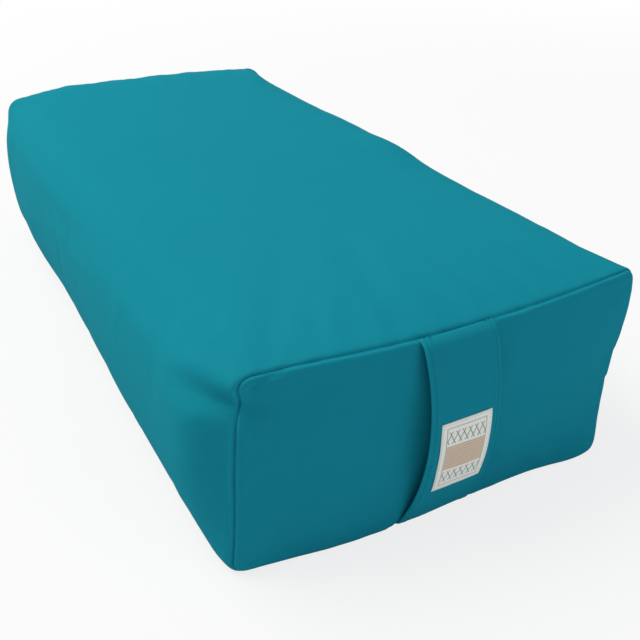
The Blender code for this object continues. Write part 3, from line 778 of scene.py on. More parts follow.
def nipped(points, distance, end, ripple, lift, allowance=0.0):
    """Draw a seam in: a diagonal nip that dies away from the seam, puckers that rise and die, and on a
    panel the low ridge of the seam allowance behind it.

    The nip is an exponential of the distance, and a pucker is distance times an exponential.
    """
    axial = np.array([0.0, end, 0.0])
    nip = np.exp(-(distance / SEAM_NIP_REACH) ** NIP_POWER)[..., None]
    nip_depth = SEAM_NIP_DEPTH * (1 + NIP_VARIATION * ripple)[:, None]
    reach = distance / PUCKER_REACH
    rise = reach * np.exp(1 - reach) * ripple * PUCKER_HEIGHT
    rise = rise + allowance * bell(distance - ALLOWANCE_PLACE, ALLOWANCE_WIDTH)
    return points - nip * nip_depth * (OUTLINE_NORMALS + axial) + rise[..., None] * lift


def slotted(points, along, x, z):
    """The zip's slot: a hem raised round it, a dip along the hem's stitches, and a sunk channel.

    Everything is a function of the distance outside the slot's edge, pushed along X.
    """
    outside = np.maximum(np.abs(z - ZIP_LEVEL) - SLOT_HALF_HEIGHT, np.abs(along) - SLOT_HALF_LENGTH)
    hem = HEM_HEIGHT * smooth(1 - (outside - HEM_END) / HEM_END_FADE)
    hem = hem * smooth((outside - HEM_START) / HEM_START_FADE)
    dip = HEM_DIP_DEPTH * bell(outside - HEM_STITCH_DISTANCE, HEM_DIP_WIDTH)
    channel = SLOT_DEPTH * smooth((CHANNEL_START - outside) / CHANNEL_FADE)
    points = points.copy()
    points[..., 0] += np.where(x > ZIP_SIDE_X, hem - dip - channel, 0.0)
    return points


# Meshes
def make_mesh(name, points, faces, material, flat=None, wear=None):
    """A smooth mesh object. flat is the cloth's flat place, in metres, of each point or else of each
    corner of each face, and wear says how rubbed each point is."""
    faces = [list(face) for face in faces]
    mesh = bpy.data.meshes.new(name)
    mesh.from_pydata(np.asarray(points).reshape(-1, 3).tolist(), [], faces)
    mesh.shade_smooth()
    if flat is not None:
        at_corners = flat[np.concatenate(faces)] if flat.ndim == 2 else flat
        layer = mesh.uv_layers.new(name="cloth")
        layer.data.foreach_set("uv", at_corners.astype(np.float32).ravel())
    if wear is not None:
        attribute = mesh.attributes.new("wear", "FLOAT", "POINT")
        attribute.data.foreach_set("value", wear.astype(np.float32).ravel())
    mesh.materials.append(material)
    return link(name, mesh)


def place(piece, body, slot_name, *nodes):
    """Let a piece ride on a body and stand for its CAD nodes. slot_name is not used."""
    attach(piece, body)
    if nodes:
        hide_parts(*nodes)


def slab(name, front, push, material, flat):
    """A thin closed sheet: a grid of front points, the same grid pushed back, and a rim between them.

    flat holds each front point's place on the flat cloth.
    """
    rows, columns = front.shape[:2]
    count = rows * columns
    faces = grid_faces(rows, columns, closed=False)
    number = np.arange(count).reshape(rows, columns)
    edge = np.concatenate([number[0], number[1:, -1], number[-1, -2::-1], number[-2:0:-1, 0]])
    every = np.concatenate([faces, faces[:, ::-1] + count, rim_faces(edge, count)])
    points = np.concatenate([front.reshape(-1, 3), (front + push).reshape(-1, 3)])
    return make_mesh(name, points, every, material, np.tile(flat.reshape(-1, 2), (2, 1)))


# Materials
class NodeTree:
    """A node tree under construction: small methods that each add a node and return its output."""

    def __init__(self, tree):
        self.nodes = tree.nodes
        self.links = tree.links

    def node(self, kind, **settings):
        """A new shader node with its own settings."""
        made = self.nodes.new("ShaderNode" + kind)
        for key, value in settings.items():
            setattr(made, key, value)
        return made

    def feed(self, socket, value):
        """Link a socket to an output, or set the socket's own value."""
        if isinstance(value, bpy.types.NodeSocket):
            self.links.new(value, socket)
        else:
            socket.default_value = value

    def fed(self, kind, output, inputs, **settings):
        """A new node fed by a table of inputs; returns one of its outputs."""
        made = self.node(kind, **settings)
        for key, value in inputs.items():
            self.feed(made.inputs[key], value)
        return made.outputs[output]

    def math(self, operation, *values):
        """Arithmetic on sockets and numbers."""
        return self.fed("Math", 0, dict(enumerate(values)), operation=operation)

    def times(self, first, second):
        """A product."""
        return self.math("MULTIPLY", first, second)

    def times_plus(self, first, second, third):
        """A product of the first two, plus the third."""
        return self.math("MULTIPLY_ADD", first, second, third)

    def sine(self, value, turns):
        """The sine of a value times a number."""
        return self.math("SINE", self.times(value, turns))

    def object_places(self):
        """Object coordinates."""
        return self.node("TexCoord").outputs["Object"]

    def noise(self, vector, scale, detail=2.0, roughness=0.5):
        """Noise on a vector."""
        inputs = {"Vector": vector, "Scale": scale, "Detail": detail, "Roughness": roughness}
        return self.fed("TexNoise", 0, inputs)

    def stretched(self, vector, scale):
        """A vector, stretched along its axes."""
        return self.fed("Mapping", 0, {"Vector": vector, "Scale": scale})

    def ramp(self, value, *stops):
        """A colour ramp of positions and colours."""
        made = self.node("ValToRGB")
        elements = made.color_ramp.elements
        while len(elements) < len(stops):
            elements.new(0.5)
        for element, (position, colour) in zip(elements, stops):
            element.position = position
            element.color = (*colour, 1.0)
        self.feed(made.inputs[0], value)
        return made.outputs[0]

    def mixed(self, share, base, colour):
        """A colour laid over a base, which is a colour or a socket, by a share."""
        base = (*base, 1.0) if isinstance(base, tuple) else base
        return self.fed("Mix", 2, {0: share, 6: base, 7: (*colour, 1.0)}, data_type="RGBA")

    def seen_directly(self):
        """One for rays from the camera, in gloss or through glass, and nought for light on the bolster."""
        path = self.node("LightPath").outputs
        seen = self.math("MAXIMUM", path["Is Camera Ray"], path["Is Glossy Ray"])
        return self.math("MAXIMUM", seen, path["Is Transmission Ray"])


class Finish(NodeTree):
    """A Principled material under construction."""

    def __init__(self, name, colour, roughness, metallic=0.0):
        self.material = bpy.data.materials.new(name)
        self.material.use_nodes = True
        super().__init__(self.material.node_tree)
        self.shader = self.nodes["Principled BSDF"]
        self.set("Base Color", (*colour, 1.0))
        self.set("Roughness", roughness)
        self.set("Metallic", metallic)

    def set(self, key, value):
        """Set or feed one of the shader's own sockets."""
        self.feed(self.shader.inputs[key], value)

    def cloth_axes(self):
        """The flat cloth's own places in metres, whole and as two separate values."""
        flat = self.node("UVMap", uv_map="cloth").outputs[0]
        separate = self.node("SeparateXYZ")
        self.feed(separate.inputs[0], flat)
        return flat, separate.outputs[0], separate.outputs[1]

    def bump(self, height, strength, distance):
        """Feed a height to the shader's normal."""
        inputs = {"Strength": strength, "Distance": distance, "Height": height}
        self.set("Normal", self.fed("Bump", 0, inputs))


def toned(colour, share):
    """A colour made darker or lighter by a share, up to white."""
    return [min(1.0, part * share) for part in colour]


def woven(name, colour, pitch, tone_spread):
    """Plain weave: over and under threads, slubs along each thread, soft mottling and rubbed edges."""
    cloth = Finish(name, colour, 0.85)
    flat, first, second = cloth.cloth_axes()
    body = cloth.object_places()
    turns = math.pi / pitch
    weave = cloth.times(cloth.sine(first, turns), cloth.sine(second, turns))
    across, along = SLUB_FINE_SCALE / pitch, SLUB_LONG_SCALE / pitch
    slub_along = cloth.noise(cloth.stretched(flat, (across, along, 1)), 1.0)
    slub_across = cloth.noise(cloth.stretched(flat, (along, across, 1)), 1.0)
    slubs = cloth.math("ADD", slub_along, slub_across)
    mottle = cloth.noise(body, MOTTLE_SCALE, 3.0)
    wear = cloth.node("Attribute", attribute_name="wear").outputs["Fac"]
    rubbed = cloth.times(wear, cloth.noise(body, RUB_SCALE))
    tone = cloth.times_plus(slubs, 0.5 * tone_spread, 0.5 - tone_spread)
    tone = cloth.times_plus(mottle, tone_spread, tone)
    tone = cloth.times_plus(weave, WEAVE_TONE, tone)
    tone = cloth.times_plus(rubbed, RUB_TONE, tone)
    light = [min(1.0, part * 1.20 + 0.0015) for part in colour]
    cloth.set("Base Color", cloth.ramp(tone, (0.0, toned(colour, 0.80)), (0.5, colour), (1.0, light)))
    cloth.bump(cloth.times_plus(slubs, 0.8, weave), 0.35, 0.15 * pitch)
    cloth.set("Specular IOR Level", CLOTH_GLOSS)
    return cloth.material


def label_weave():
    """The woven label: satin off-white, a thin muted border, two rows of small lozenges, and a plain
    striped band between them."""
    cloth = Finish("woven label", LABEL_GROUND, 0.6)
    flat, first, second = cloth.cloth_axes()
    level = cloth.math("ABSOLUTE", second)
    side_gap = cloth.math("SUBTRACT", LABEL_WIDTH / 2, cloth.math("ABSOLUTE", first))
    end_gap = cloth.math("SUBTRACT", LABEL_HEIGHT / 2, level)
    gap = cloth.math("MINIMUM", side_gap, end_gap)
    border = cloth.math("COMPARE", gap, BORDER_INSET, BORDER_HALF_WIDTH)
    inner = cloth.math("GREATER_THAN", gap, BORDER_INSET + BORDER_HALF_WIDTH)
    across = cloth.times(cloth.math("PINGPONG", first, LOZENGE_WIDTH / 2), 2 / LOZENGE_WIDTH)
    along = cloth.times(cloth.math("PINGPONG", second, LOZENGE_WIDTH), 1 / LOZENGE_WIDTH)
    lozenge = cloth.math("COMPARE", cloth.math("ADD", across, along), 1.0, LOZENGE_LINE)
    in_row = cloth.math("COMPARE", level, LOZENGE_ROW_PLACE, LOZENGE_WIDTH)
    motif = cloth.times(cloth.times(lozenge, in_row), inner)
    band = cloth.times(cloth.math("LESS_THAN", level, BAND_HALF_HEIGHT), inner)
    stripes = cloth.math("GREATER_THAN", cloth.sine(second, math.pi / STRIPE_PITCH), 0.2)
    stripes = cloth.times(stripes, band)
    shade = LABEL_GROUND
    for part, share, colour in (
        (band, 0.75, (0.72, 0.50, 0.34)),
        (stripes, 0.45, (0.50, 0.30, 0.19)),
        (motif, 0.8, (0.13, 0.16, 0.08)),
        (border, 0.75, (0.40, 0.42, 0.26)),
    ):
        shade = cloth.mixed(cloth.times(part, share), shade, colour)
    cloth.set("Base Color", shade)
    turns = math.pi / LABEL_THREAD
    warp = cloth.sine(first, turns)
    weft = cloth.sine(second, turns * 0.5)
    cloth.bump(cloth.times_plus(warp, 0.6, weft), 0.3, 0.00005)
    cloth.set("Specular IOR Level", 0.25)
    return cloth.material


def thread_finish(name, colour):
    """Sewing thread: a fine twist along Object coordinates and a slight gloss."""
    thread = Finish(name, colour, 0.6)
    twist = thread.noise(thread.object_places(), 2600.0)
    thread.set("Base Color", thread.ramp(twist, (0.3, toned(colour, 0.75)), (0.7, toned(colour, 1.15))))
    thread.bump(twist, 0.4, 0.0001)
    thread.set("Specular IOR Level", 0.2)
    return thread.material


def zip_metal_finish():
    """Nickel plate: brushed lightly along Y, with small rubbed patches."""
    metal = Finish("zip nickel", (0.62, 0.61, 0.58), 0.28, 1.0)
    body = metal.object_places()
    patches = metal.noise(body, 500.0, 3.0)
    metal.set("Roughness", metal.times_plus(patches, 0.22, 0.17))
    metal.set("Base Color", metal.ramp(patches, (0.3, (0.52, 0.51, 0.48)), (0.7, (0.68, 0.67, 0.64))))
    metal.bump(metal.noise(metal.stretched(body, (4000, 200, 4000)), 1.0), 0.15, 0.00005)
    return metal.material


def zip_coil_finish(colour):
    """Nylon coil: smooth, a little glossy, faintly streaked."""
    nylon = Finish("zip coil nylon", colour, 0.38)
    streaks = nylon.noise(nylon.object_places(), 900.0)
    nylon.set("Base Color", nylon.ramp(streaks, (0.3, toned(colour, 0.85)), (0.7, toned(colour, 1.15))))
    nylon.set("Roughness", nylon.times_plus(streaks, 0.2, 0.3))
    return nylon.material


def fleecy(name, colour, scale, bump):
    """Batting or foam: a fine porous surface in two scales of noise."""
    filling = Finish(name, colour, 0.95)
    body = filling.object_places()
    coarse = filling.noise(body, scale, 4.0, 0.65)
    fine = filling.noise(body, scale * 6, 3.0)
    filling.set("Base Color", filling.ramp(coarse, (0.3, toned(colour, 0.88)), (0.7, colour)))
    filling.bump(filling.math("ADD", coarse, fine), 0.5, bump)
    return filling.material


teal_canvas = woven("teal canvas", (0.0088, 0.253, 0.334), 0.00055, 0.12)
teal_thread = thread_finish("teal thread", (0.008, 0.27, 0.33))
cream_thread = thread_finish("cream thread", (0.72, 0.68, 0.58))
label_cloth = label_weave()
tape_cloth = woven("zip tape", (0.006, 0.17, 0.215), 0.00045, 0.10)
coil_nylon = zip_coil_finish((0.008, 0.16, 0.20))
nickel = zip_metal_finish()
liner_cotton = woven("liner cotton", (0.78, 0.76, 0.70), 0.0004, 0.08)
batting_fleece = fleecy("cotton batting", (0.86, 0.84, 0.79), 260.0, 0.0008)
core_foam = fleecy("core foam", (0.86, 0.80, 0.60), 1500.0, 0.0002)


# The strap's own surface, which the front panel under it keeps clear of
def strap_face(level):
    """How far forward the strap's outer face is at a height: the panel's middle plus a half sine, and
    tucked into the seam at both ends."""
    up = np.clip(level / HEIGHT, 0, 1)
    reach = HALF_LENGTH + end_bow(0.0, up) + end_crown(0.0, up)
    gap = np.clip(np.minimum(STRAP_TOP - level, level - STRAP_BOTTOM), 0, None)
    tuck = STRAP_TUCK * np.exp(-(gap / STRAP_TUCK_REACH) ** STRAP_TUCK_POWER)
    return tuck - (reach + STRAP_STAND_OFF * np.sin(math.pi * up) + STRAP_LIFT)


def strap_sides(level):
    """The strap's left and right edges at a height, in the bolster's own axes: the left one is a
    parabola about the waist, and the right one leans a little."""
    down = 1 - np.clip(level / HEIGHT, 0, 1)
    left = STRAP_LEFT + STRAP_LEFT_FLARE * (level - STRAP_WAIST) ** 2
    return left, STRAP_RIGHT + STRAP_RIGHT_SHIFT * down


def strap_surface(x, level):
    """The strap's outer face at a place: its profile, a slight cup across it and a soft wave."""
    left, right = strap_sides(level)
    across = (2 * x - left - right) / (right - left)
    wave = STRAP_WAVE * np.sin(107 * x + 1.0) * np.sin(55 * level + 1.0)
    return strap_face(level) + STRAP_CUP * np.clip(np.abs(across), 0, 1) ** 3 + wave


def behind_strap(points):
    """Keep the front panel behind the strap: where a point is under it, its y is at least the strap's
    back, and the limit fades out beside the strap."""
    x, y, level = np.moveaxis(points - MIDDLE, -1, 0)
    left, right = strap_sides(level)
    outside = np.maximum(left - x, x - right)
    limit = strap_surface(np.clip(x, left, right), level) + STRAP_THICKNESS + PANEL_CLEARANCE
    limit = limit - np.clip(outside, 0, None) * PANEL_CLEARANCE_SLOPE
    inside = (outside < PANEL_CLEARANCE_REACH) & (level > STRAP_BOTTOM) & (level < STRAP_TOP)
    return np.stack([x, np.where(inside, np.maximum(y, limit), y), level], axis=-1) + MIDDLE


# The cover
settled_wrap, settled_front, settled_rear = settle()
front_ripple = seam_ripple()
rear_ripple = seam_ripple()


def wrap_rows():
    """Rows along the wrap: close at both end seams and at both ends of the zip's slot."""
    slot = SLOT_HALF_LENGTH + HEM_DISTANCES
    inner = HALF_LENGTH - SEAM_DISTANCES[-1]
    plain = np.arange(-inner, inner, ROW_SPACING)[1:]
    special = np.concatenate([slot, -slot])
    clear = np.abs(plain[:, None] - special).min(axis=1) > LEAST_ROW_GAP
    seam = HALF_LENGTH - SEAM_DISTANCES
    return np.sort(np.concatenate([plain[clear], special, seam, -seam]))


def tube_places(shape, around, along):
    """Flat places of a tube of cloth at each face corner: distance round it, and distance along it."""
    rows, columns = shape[:2]
    row = np.arange(rows - 1)[:, None]
    column = np.arange(columns)[None, :]
    corners = []
    for row_step, column_step in ((0, 0), (1, 0), (1, 1), (0, 1)):
        u = np.broadcast_to(around[column + column_step], (rows - 1, columns))
        v = np.broadcast_to(along[row + row_step], (rows - 1, columns))
        corners.append(np.stack([u, v], axis=2))
    return np.stack(corners, axis=2).reshape(-1, 4, 2)


def make_wrap():
    """The wrap: its rest form, let out, shaped, folded, nipped at both end seams and slotted."""
    along = wrap_rows()
    rest = wrap_form(along)
    local = rest - MIDDLE
    distance = (HALF_LENGTH - np.abs(along))[:, None] * np.ones(COLUMNS)
    row_place = (along + HALF_LENGTH)[:, None] / LENGTH * (SETTLE_ROWS - 1)
    moved = spline_at(settled_wrap, row_place, COLUMN_SHARES[None] * SETTLE_COLUMNS)
    calm = away_from_zip(local[..., 0], along[:, None], local[..., 2])
    moved = moved * (calm * (1 - bell(distance, SETTLED_FADE)))[..., None]
    points = shaped(rest + moved)
    points = folded(points, grid_normals(points), distance, np.sign(along)[:, None])
    for end, ripple in ((-1, front_ripple), (1, rear_ripple)):
        rows = np.sign(along) == end
        points[rows] = nipped(points[rows], distance[rows], end, ripple, OUTLINE_NORMALS)
    points = slotted(points, along[:, None], local[..., 0], local[..., 2])
    points[..., 2] = np.maximum(points[..., 2], 0.0)
    flat = tube_places(points.shape, np.append(COLUMN_SHARES, 1.0) * WRAP_GIRTH, along)
    faces = grid_faces(len(along), COLUMNS)
    wear = bell(distance - WEAR_PLACE, WEAR_WIDTH)
    return make_mesh("bolster_cover_wrap", points, faces, teal_canvas, flat, wear)


def make_panel(name, end, ripple, settled):
    """An end panel: rings from the seam to the middle, closed by a pole."""
    x, z, distance = panel_rings()
    rest = face_form(x, z, end, distance)
    row_place = (z - PANEL_GRID_Z[0]) / PANEL_GRID_STEP
    moved = spline_at(settled, row_place, (x - PANEL_GRID_X[0]) / PANEL_GRID_STEP)
    moved = moved * (1 - bell(distance, SETTLED_FADE))[..., None]
    points = shaped(rest + moved)
    points = folded(points, grid_normals(points) * end, distance, end)
    points = nipped(points, distance, end, ripple, np.array([0.0, end, 0.0]), ALLOWANCE_HEIGHT)
    if end < 0:
        points = behind_strap(points)
    points[..., 2] = np.maximum(points[..., 2], 0.0)
    rows = len(points)
    faces = grid_faces(rows, COLUMNS)[:, ::end]
    caps = pole_faces((rows - 1) * COLUMNS, COLUMNS, rows * COLUMNS)[:, ::end]
    corners = np.concatenate([points.reshape(-1, 3), points[-1].mean(axis=0)[None]])
    wear = np.append(bell(distance - WEAR_PLACE, WEAR_WIDTH).ravel(), 0.0)
    return make_mesh(name, corners, [*faces, *caps], teal_canvas, corners[:, [0, 2]], wear)


cover_pieces = (
    (make_wrap(), "cover_wrap"),
    (make_panel("bolster_front_panel", -1, front_ripple, settled_front), "cover_front_panel"),
    (make_panel("bolster_rear_panel", 1, rear_ripple, settled_rear), "cover_rear_panel"),
)
for cover_piece, cover_node in cover_pieces:
    place(cover_piece, "root", "cover_canvas", cover_node)


# The strap handle
def strap_profile():
    """The strap's thin rounded section: -1 to 1 across it and 0 to 1 through it, hemmed and stitched."""
    turn = np.linspace(0, math.pi, 9)[1:-1]
    inner = np.linspace(-1 + STRAP_INNER_START, 1 - STRAP_INNER_START, 15)
    front = np.concatenate([-1 + STRAP_HEM_PLACES, inner, 1 - STRAP_HEM_PLACES[::-1]])
    back = np.linspace(1, -1, 16)
    from_edge = 1 - np.abs(front)
    raised = STRAP_HEM_RISE * smooth(1 - (from_edge - STRAP_HEM_SHARE) / STRAP_HEM_FADE)
    dip = STRAP_DIP_DEPTH * bell(from_edge - STRAP_DIP_PLACE, STRAP_DIP_WIDTH)
    front_out = 1.0 + raised - dip - STRAP_EDGE_DROP * np.exp(-from_edge / STRAP_EDGE_FADE)
    edge_out = 0.5 + 0.45 * np.cos(turn)
    edge_across = 1 + STRAP_EDGE_BULGE * np.sin(turn)
    across = np.concatenate([front, edge_across, back, -edge_across[::-1]])
    out = np.concatenate([front_out, edge_out, np.zeros(len(back)), edge_out[::-1]])
    return across, out


def make_strap(name, low, high, rows, *nodes):
    """One half of the strap: its section carried down the strap's path, with both ends closed."""
    across, out = strap_profile()
    level = np.linspace(high, low, rows)[:, None]
    left, right = strap_sides(level)
    x = (left + right) / 2 + across * (right - left) / 2
    slope = np.gradient(strap_face(level[:, 0]), level[:, 0])[:, None]
    tilt = np.sqrt(1 + slope ** 2)
    depth = STRAP_THICKNESS * (1 - out)
    y = strap_surface(x, level) + depth / tilt
    z = level - slope * depth / tilt
    points = shell_points(np.stack(np.broadcast_arrays(x, y, z), axis=2) + MIDDLE)
    edge_wear = bell(1 - np.abs(across), STRAP_WEAR_SHARE)
    wear = np.append(np.tile(edge_wear, rows), [0.0, 0.0])
    faces = shell_faces(rows, len(across))
    made = make_mesh(name, points, faces, teal_canvas, points[:, [0, 2]], wear)
    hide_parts(*nodes)
    return made


def blend_strap(piece):
    """Bake a piece of the strap's transform into its mesh."""
    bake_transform(piece)


upper_strap = make_strap("handle_strap_upper", STRAP_SPLIT, STRAP_TOP, 96, "handle_upper_tail", "handle_grip")
lower_strap = make_strap("handle_strap_lower", STRAP_BOTTOM, STRAP_SPLIT, 76, "handle_lower_tail")
blend_strap(upper_strap)
blend_strap(lower_strap)


def stitches(name, centres, along, out, size, material):
    """Small stitches, one ellipsoid each: rings round the thread's direction, closed at both ends. size
    is a stitch's half length and half width."""
    half_length, half_width = size
    radii = np.array(STITCH_RADII)[:, None, None]
    steps = np.array(STITCH_STEPS)[:, None, None]
    turn = np.arange(STITCH_SIDES) / STITCH_SIDES * 2 * math.pi
    ring = np.stack([np.zeros(STITCH_SIDES), np.cos(turn), np.sin(turn)], axis=1)
    body = radii * ring * half_width + steps * np.array([half_length, 0, 0])
    template = np.concatenate([body.reshape(-1, 3), [[-half_length, 0, 0], [half_length, 0, 0]]])
    axes = np.stack([along, np.cross(out, along), out], axis=1)
    points = np.einsum("vi,nij->nvj", template, axes) + centres[:, None]
    one = shell_faces(len(STITCH_RADII), STITCH_SIDES, -1)
    starts = range(0, len(centres) * len(template), len(template))
    faces = [[start + corner for corner in face] for start in starts for face in one]
    return make_mesh(name, points, faces, material)


def strap_stitch_rows(low, high):
    """Places and directions of the two rows of stitches down the strap's edges between two heights."""
    level = np.arange(high - 0.002, low + 0.001, -STRAP_STITCH_STEP)
    left, right = strap_sides(level)
    half = (right - left) / 2
    slope = np.gradient(strap_face(level), level)
    down = unit(np.stack([np.zeros(len(level)), -slope, -np.ones(len(level))], axis=1))
    out = unit(np.stack([np.zeros(len(level)), -np.ones(len(level)), slope], axis=1))
    centres = []
    for side in (-1, 1):
        x = (left + right) / 2 + side * (half - STRAP_STITCH_INSET)
        centres.append(np.stack([x, strap_surface(x, level) + 0.00006, level], axis=1) + MIDDLE)
    return np.concatenate(centres), np.tile(down, (2, 1)), np.tile(out, (2, 1))


stitch_limits = {"upper": (STRAP_SPLIT, STRAP_TOP - 0.004), "lower": (STRAP_BOTTOM + 0.003, STRAP_SPLIT)}
for half, limits in stitch_limits.items():
    rows = strap_stitch_rows(*limits)
    strap_thread = stitches(f"handle_stitches_{half}", *rows, STRAP_STITCH, teal_thread)
    blend_strap(strap_thread)


def round_rectangle(across, up, left, right, low, high):
    """Places round a rectangle: along its top and its base, and then up its left and right sides. Also
    a column that is true at the sides."""
    edges = ((across, high), (across, low), (left, up), (right, up))
    places = np.concatenate([np.stack(np.broadcast_arrays(*edge), axis=1) for edge in edges])
    return places, (np.arange(len(places)) >= 2 * len(across))[:, None]


# The label
def label_point(across, up):
    """A place on the label's back, from its own share across and up, on the strap's outer face."""
    across, up = np.broadcast_arrays(across, up)
    level = LABEL_LOW + LABEL_HEIGHT * up
    x = LABEL_LEFT + LABEL_WIDTH * across
    ripple = LABEL_RIPPLE * np.sin(across * 9 + 1) * np.sin(up * 13)
    return np.stack([x, strap_surface(x, level) - LABEL_CLEARANCE - ripple, level], axis=-1) + MIDDLE


def make_label():
    """The label: a thin slab bent to the strap."""
    across = np.linspace(0, 1, 30)[None, :]
    up = np.linspace(1, 0, 44)[:, None]
    push = np.array([0, LABEL_THICKNESS, 0])
    front = label_point(across, up) - push
    flat = np.stack(np.broadcast_arrays((across - 0.5) * LABEL_WIDTH, (up - 0.5) * LABEL_HEIGHT), axis=2)
    made = slab("handle_woven_label", front, push, label_cloth, flat)
    place(made, "handle", "woven_label", "handle_label")


def label_stitches():
    """Stitches all round the label, just inside its edges."""
    start = LABEL_STITCH_INSET + LABEL_STITCH_STEP / 2
    across = np.arange(start, LABEL_WIDTH - LABEL_STITCH_INSET, LABEL_STITCH_STEP) / LABEL_WIDTH
    up = np.arange(start, LABEL_HEIGHT - LABEL_STITCH_INSET, LABEL_STITCH_STEP) / LABEL_HEIGHT
    side = LABEL_STITCH_INSET / LABEL_WIDTH
    low = LABEL_STITCH_INSET / LABEL_HEIGHT
    shares, upright = round_rectangle(across, up, side, 1 - side, low, 1 - low)
    ahead = shares + np.where(upright, [0.0, 0.01], [0.01, 0.0])
    centres = label_point(shares[:, 0], shares[:, 1])
    along = unit(label_point(ahead[:, 0], ahead[:, 1]) - centres)
    out = np.tile([0.0, -1.0, 0.0], (len(centres), 1))
    out = unit(out - (out * along).sum(axis=1, keepdims=True) * along)
    centres[:, 1] -= LABEL_THICKNESS - 0.00005
    return stitches("handle_label_stitches", centres, along, out, LABEL_STITCH, cream_thread)


make_label()
place(label_stitches(), "handle", "woven_label")


# The zip
def side_face(level, inset):
    """The +X side's surface at a height, less an inset, in the frame of the CAD."""
    up = np.clip(level / HEIGHT, 0, 1)
    return MIDDLE[0] + WIDTH / 2 + side_swell(up) - inset


def make_tape(name, node):
    """A zip tape: a thin woven strip that follows the side, with a fine ripple along its length."""
    low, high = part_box(node)
    along = np.linspace(low.y, high.y, 170)[:, None]
    level = np.linspace(low.z, high.z, 14)[None, :]
    x = side_face(level, TAPE_INSET) + TAPE_RIPPLE * np.sin(along * 2 * math.pi / TAPE_RIPPLE_PITCH)
    front = np.stack(np.broadcast_arrays(x, along, level), axis=2)
    made = slab(name, front, np.array([-TAPE_THICKNESS, 0, 0]), tape_cloth, front[..., [1, 2]])
    place(made, "root", "zip_tape", node)


def make_coil(name, node, lean):
    """One side's teeth: a helix along Y of elliptical turns, each a bent nylon wire."""
    low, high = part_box(node)
    turns = int((high.y - low.y) / COIL_PITCH)
    turn = np.linspace(0, turns * 2 * math.pi, turns * 9 + 1)
    centre = np.stack([
        (low.x + high.x) / 2 + COIL_HALF_DEPTH * np.cos(turn),
        low.y + turn / (2 * math.pi) * COIL_PITCH,
        (low.z + high.z) / 2 + lean + COIL_HALF_WIDTH * np.sin(turn),
    ], axis=1)
    ahead = unit(np.gradient(centre, axis=0))
    side = unit(np.cross(ahead, np.array([0.0, 1.0, 0.0])))
    other = np.cross(ahead, side)
    around = (np.arange(5) / 5 * 2 * math.pi)[None, :, None]
    wire = np.cos(around) * side[:, None] + np.sin(around) * other[:, None]
    points = shell_points(centre[:, None] + WIRE_RADIUS * wire)
    made = make_mesh(name, points, shell_faces(len(centre), 5, -1), coil_nylon)
    place(made, "root", "zip_coil", node)


def zip_stitches():
    """Stitches in a long ring round the slot, at the hem's dip."""
    reach_z = SLOT_HALF_HEIGHT + HEM_STITCH_DISTANCE
    reach_y = SLOT_HALF_LENGTH + HEM_STITCH_DISTANCE
    y = np.arange(-reach_y + 0.0016, reach_y, ZIP_STITCH_STEP)
    z = np.arange(-reach_z + 0.0018, reach_z, ZIP_STITCH_STEP)
    places, upright = round_rectangle(y, z, -reach_y, reach_y, -reach_z, reach_z)
    level = ZIP_LEVEL + places[:, 1]
    flat = np.zeros(len(level))
    centres = np.stack([side_face(level, 0.0) + 0.0002, MIDDLE[1] + places[:, 0], level], axis=1)
    slope = (side_face(level + 0.0005, 0.0) - side_face(level - 0.0005, 0.0)) / 0.001
    along = np.where(upright, unit(np.stack([slope, flat, flat + 1], axis=1)), [0.0, 1.0, 0.0])
    out = unit(np.stack([flat + 1, flat, -slope], axis=1))
    return stitches("zip_hem_stitches", centres, along, out, ZIP_STITCH, teal_thread)


make_tape("zip_woven_tape_upper", "zip_tape_upper")
make_tape("zip_woven_tape_lower", "zip_tape_lower")
make_coil("zip_teeth_upper", "zip_coil_upper", -COIL_LEAN)
make_coil("zip_teeth_lower", "zip_coil_lower", COIL_LEAN)
place(zip_stitches(), "root", "cover_canvas")
for metal_node in ("zip_top_stop", "zip_bottom_stop", "zip_slider", "zip_pull"):
    metal_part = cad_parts[metal_node]
    metal_part.data.materials.clear()
    metal_part.data.materials.append(nickel)


# The filling, hidden inside the cover
def tube_between(name, inset, thickness, end_gap, material):
    """A wall of cloth or batting: the wrap's form at two insets, and the two rims that join them."""
    along = np.linspace(-HALF_LENGTH + end_gap, HALF_LENGTH - end_gap, FILLING_ROWS)
    walls = [wrap_form(along, depth)[:, COARSE_COLUMNS] for depth in (inset, inset + thickness)]
    columns = walls[0].shape[1]
    count = FILLING_ROWS * columns
    faces = grid_faces(FILLING_ROWS, columns)
    ring = np.arange(columns)
    rims = [rim_faces(ring, count), rim_faces(ring + count - columns, count)[:, ::-1]]
    every = np.concatenate([faces, faces[:, ::-1] + count, *rims])
    points = np.concatenate(walls).reshape(-1, 3)
    return make_mesh(name, points, every, material, points[:, [0, 1]])


def end_pad(name, end, inset, thickness, material):
    """A pad at one end: the panel's form at an inset, with a copy of it behind."""
    seam_x, seam_z = (part[0, COARSE_COLUMNS] for part in end_outline(inset))
    share = np.linspace(1, 0.05, 14)[:, None]
    x, z = drawn_in(seam_x, seam_z, share)
    front = face_form(x, z, end, np.ones_like(x), inset)
    back = front - np.array([0, end * thickness, 0])
    rows, columns = front.shape[:2]
    count = rows * columns
    faces = grid_faces(rows, columns)
    rim = rim_faces(np.arange(columns), count)
    every = np.concatenate([faces, faces[:, ::-1] + count, rim])[:, ::end]
    caps = np.concatenate([
        pole_faces(count - columns, columns, 2 * count),
        pole_faces(2 * count - columns, columns, 2 * count + 1)[:, ::-1],
    ])[:, ::end]
    both = np.stack([front, back])
    points = np.concatenate([both.reshape(-1, 3), both[:, -1].mean(axis=1)])
    return make_mesh(name, points, [*every, *caps], material, points[:, [0, 2]])


def powered(value, share):
    """A power of a value's size, with the value's own sign."""
    return np.sign(value) * np.abs(value) ** share


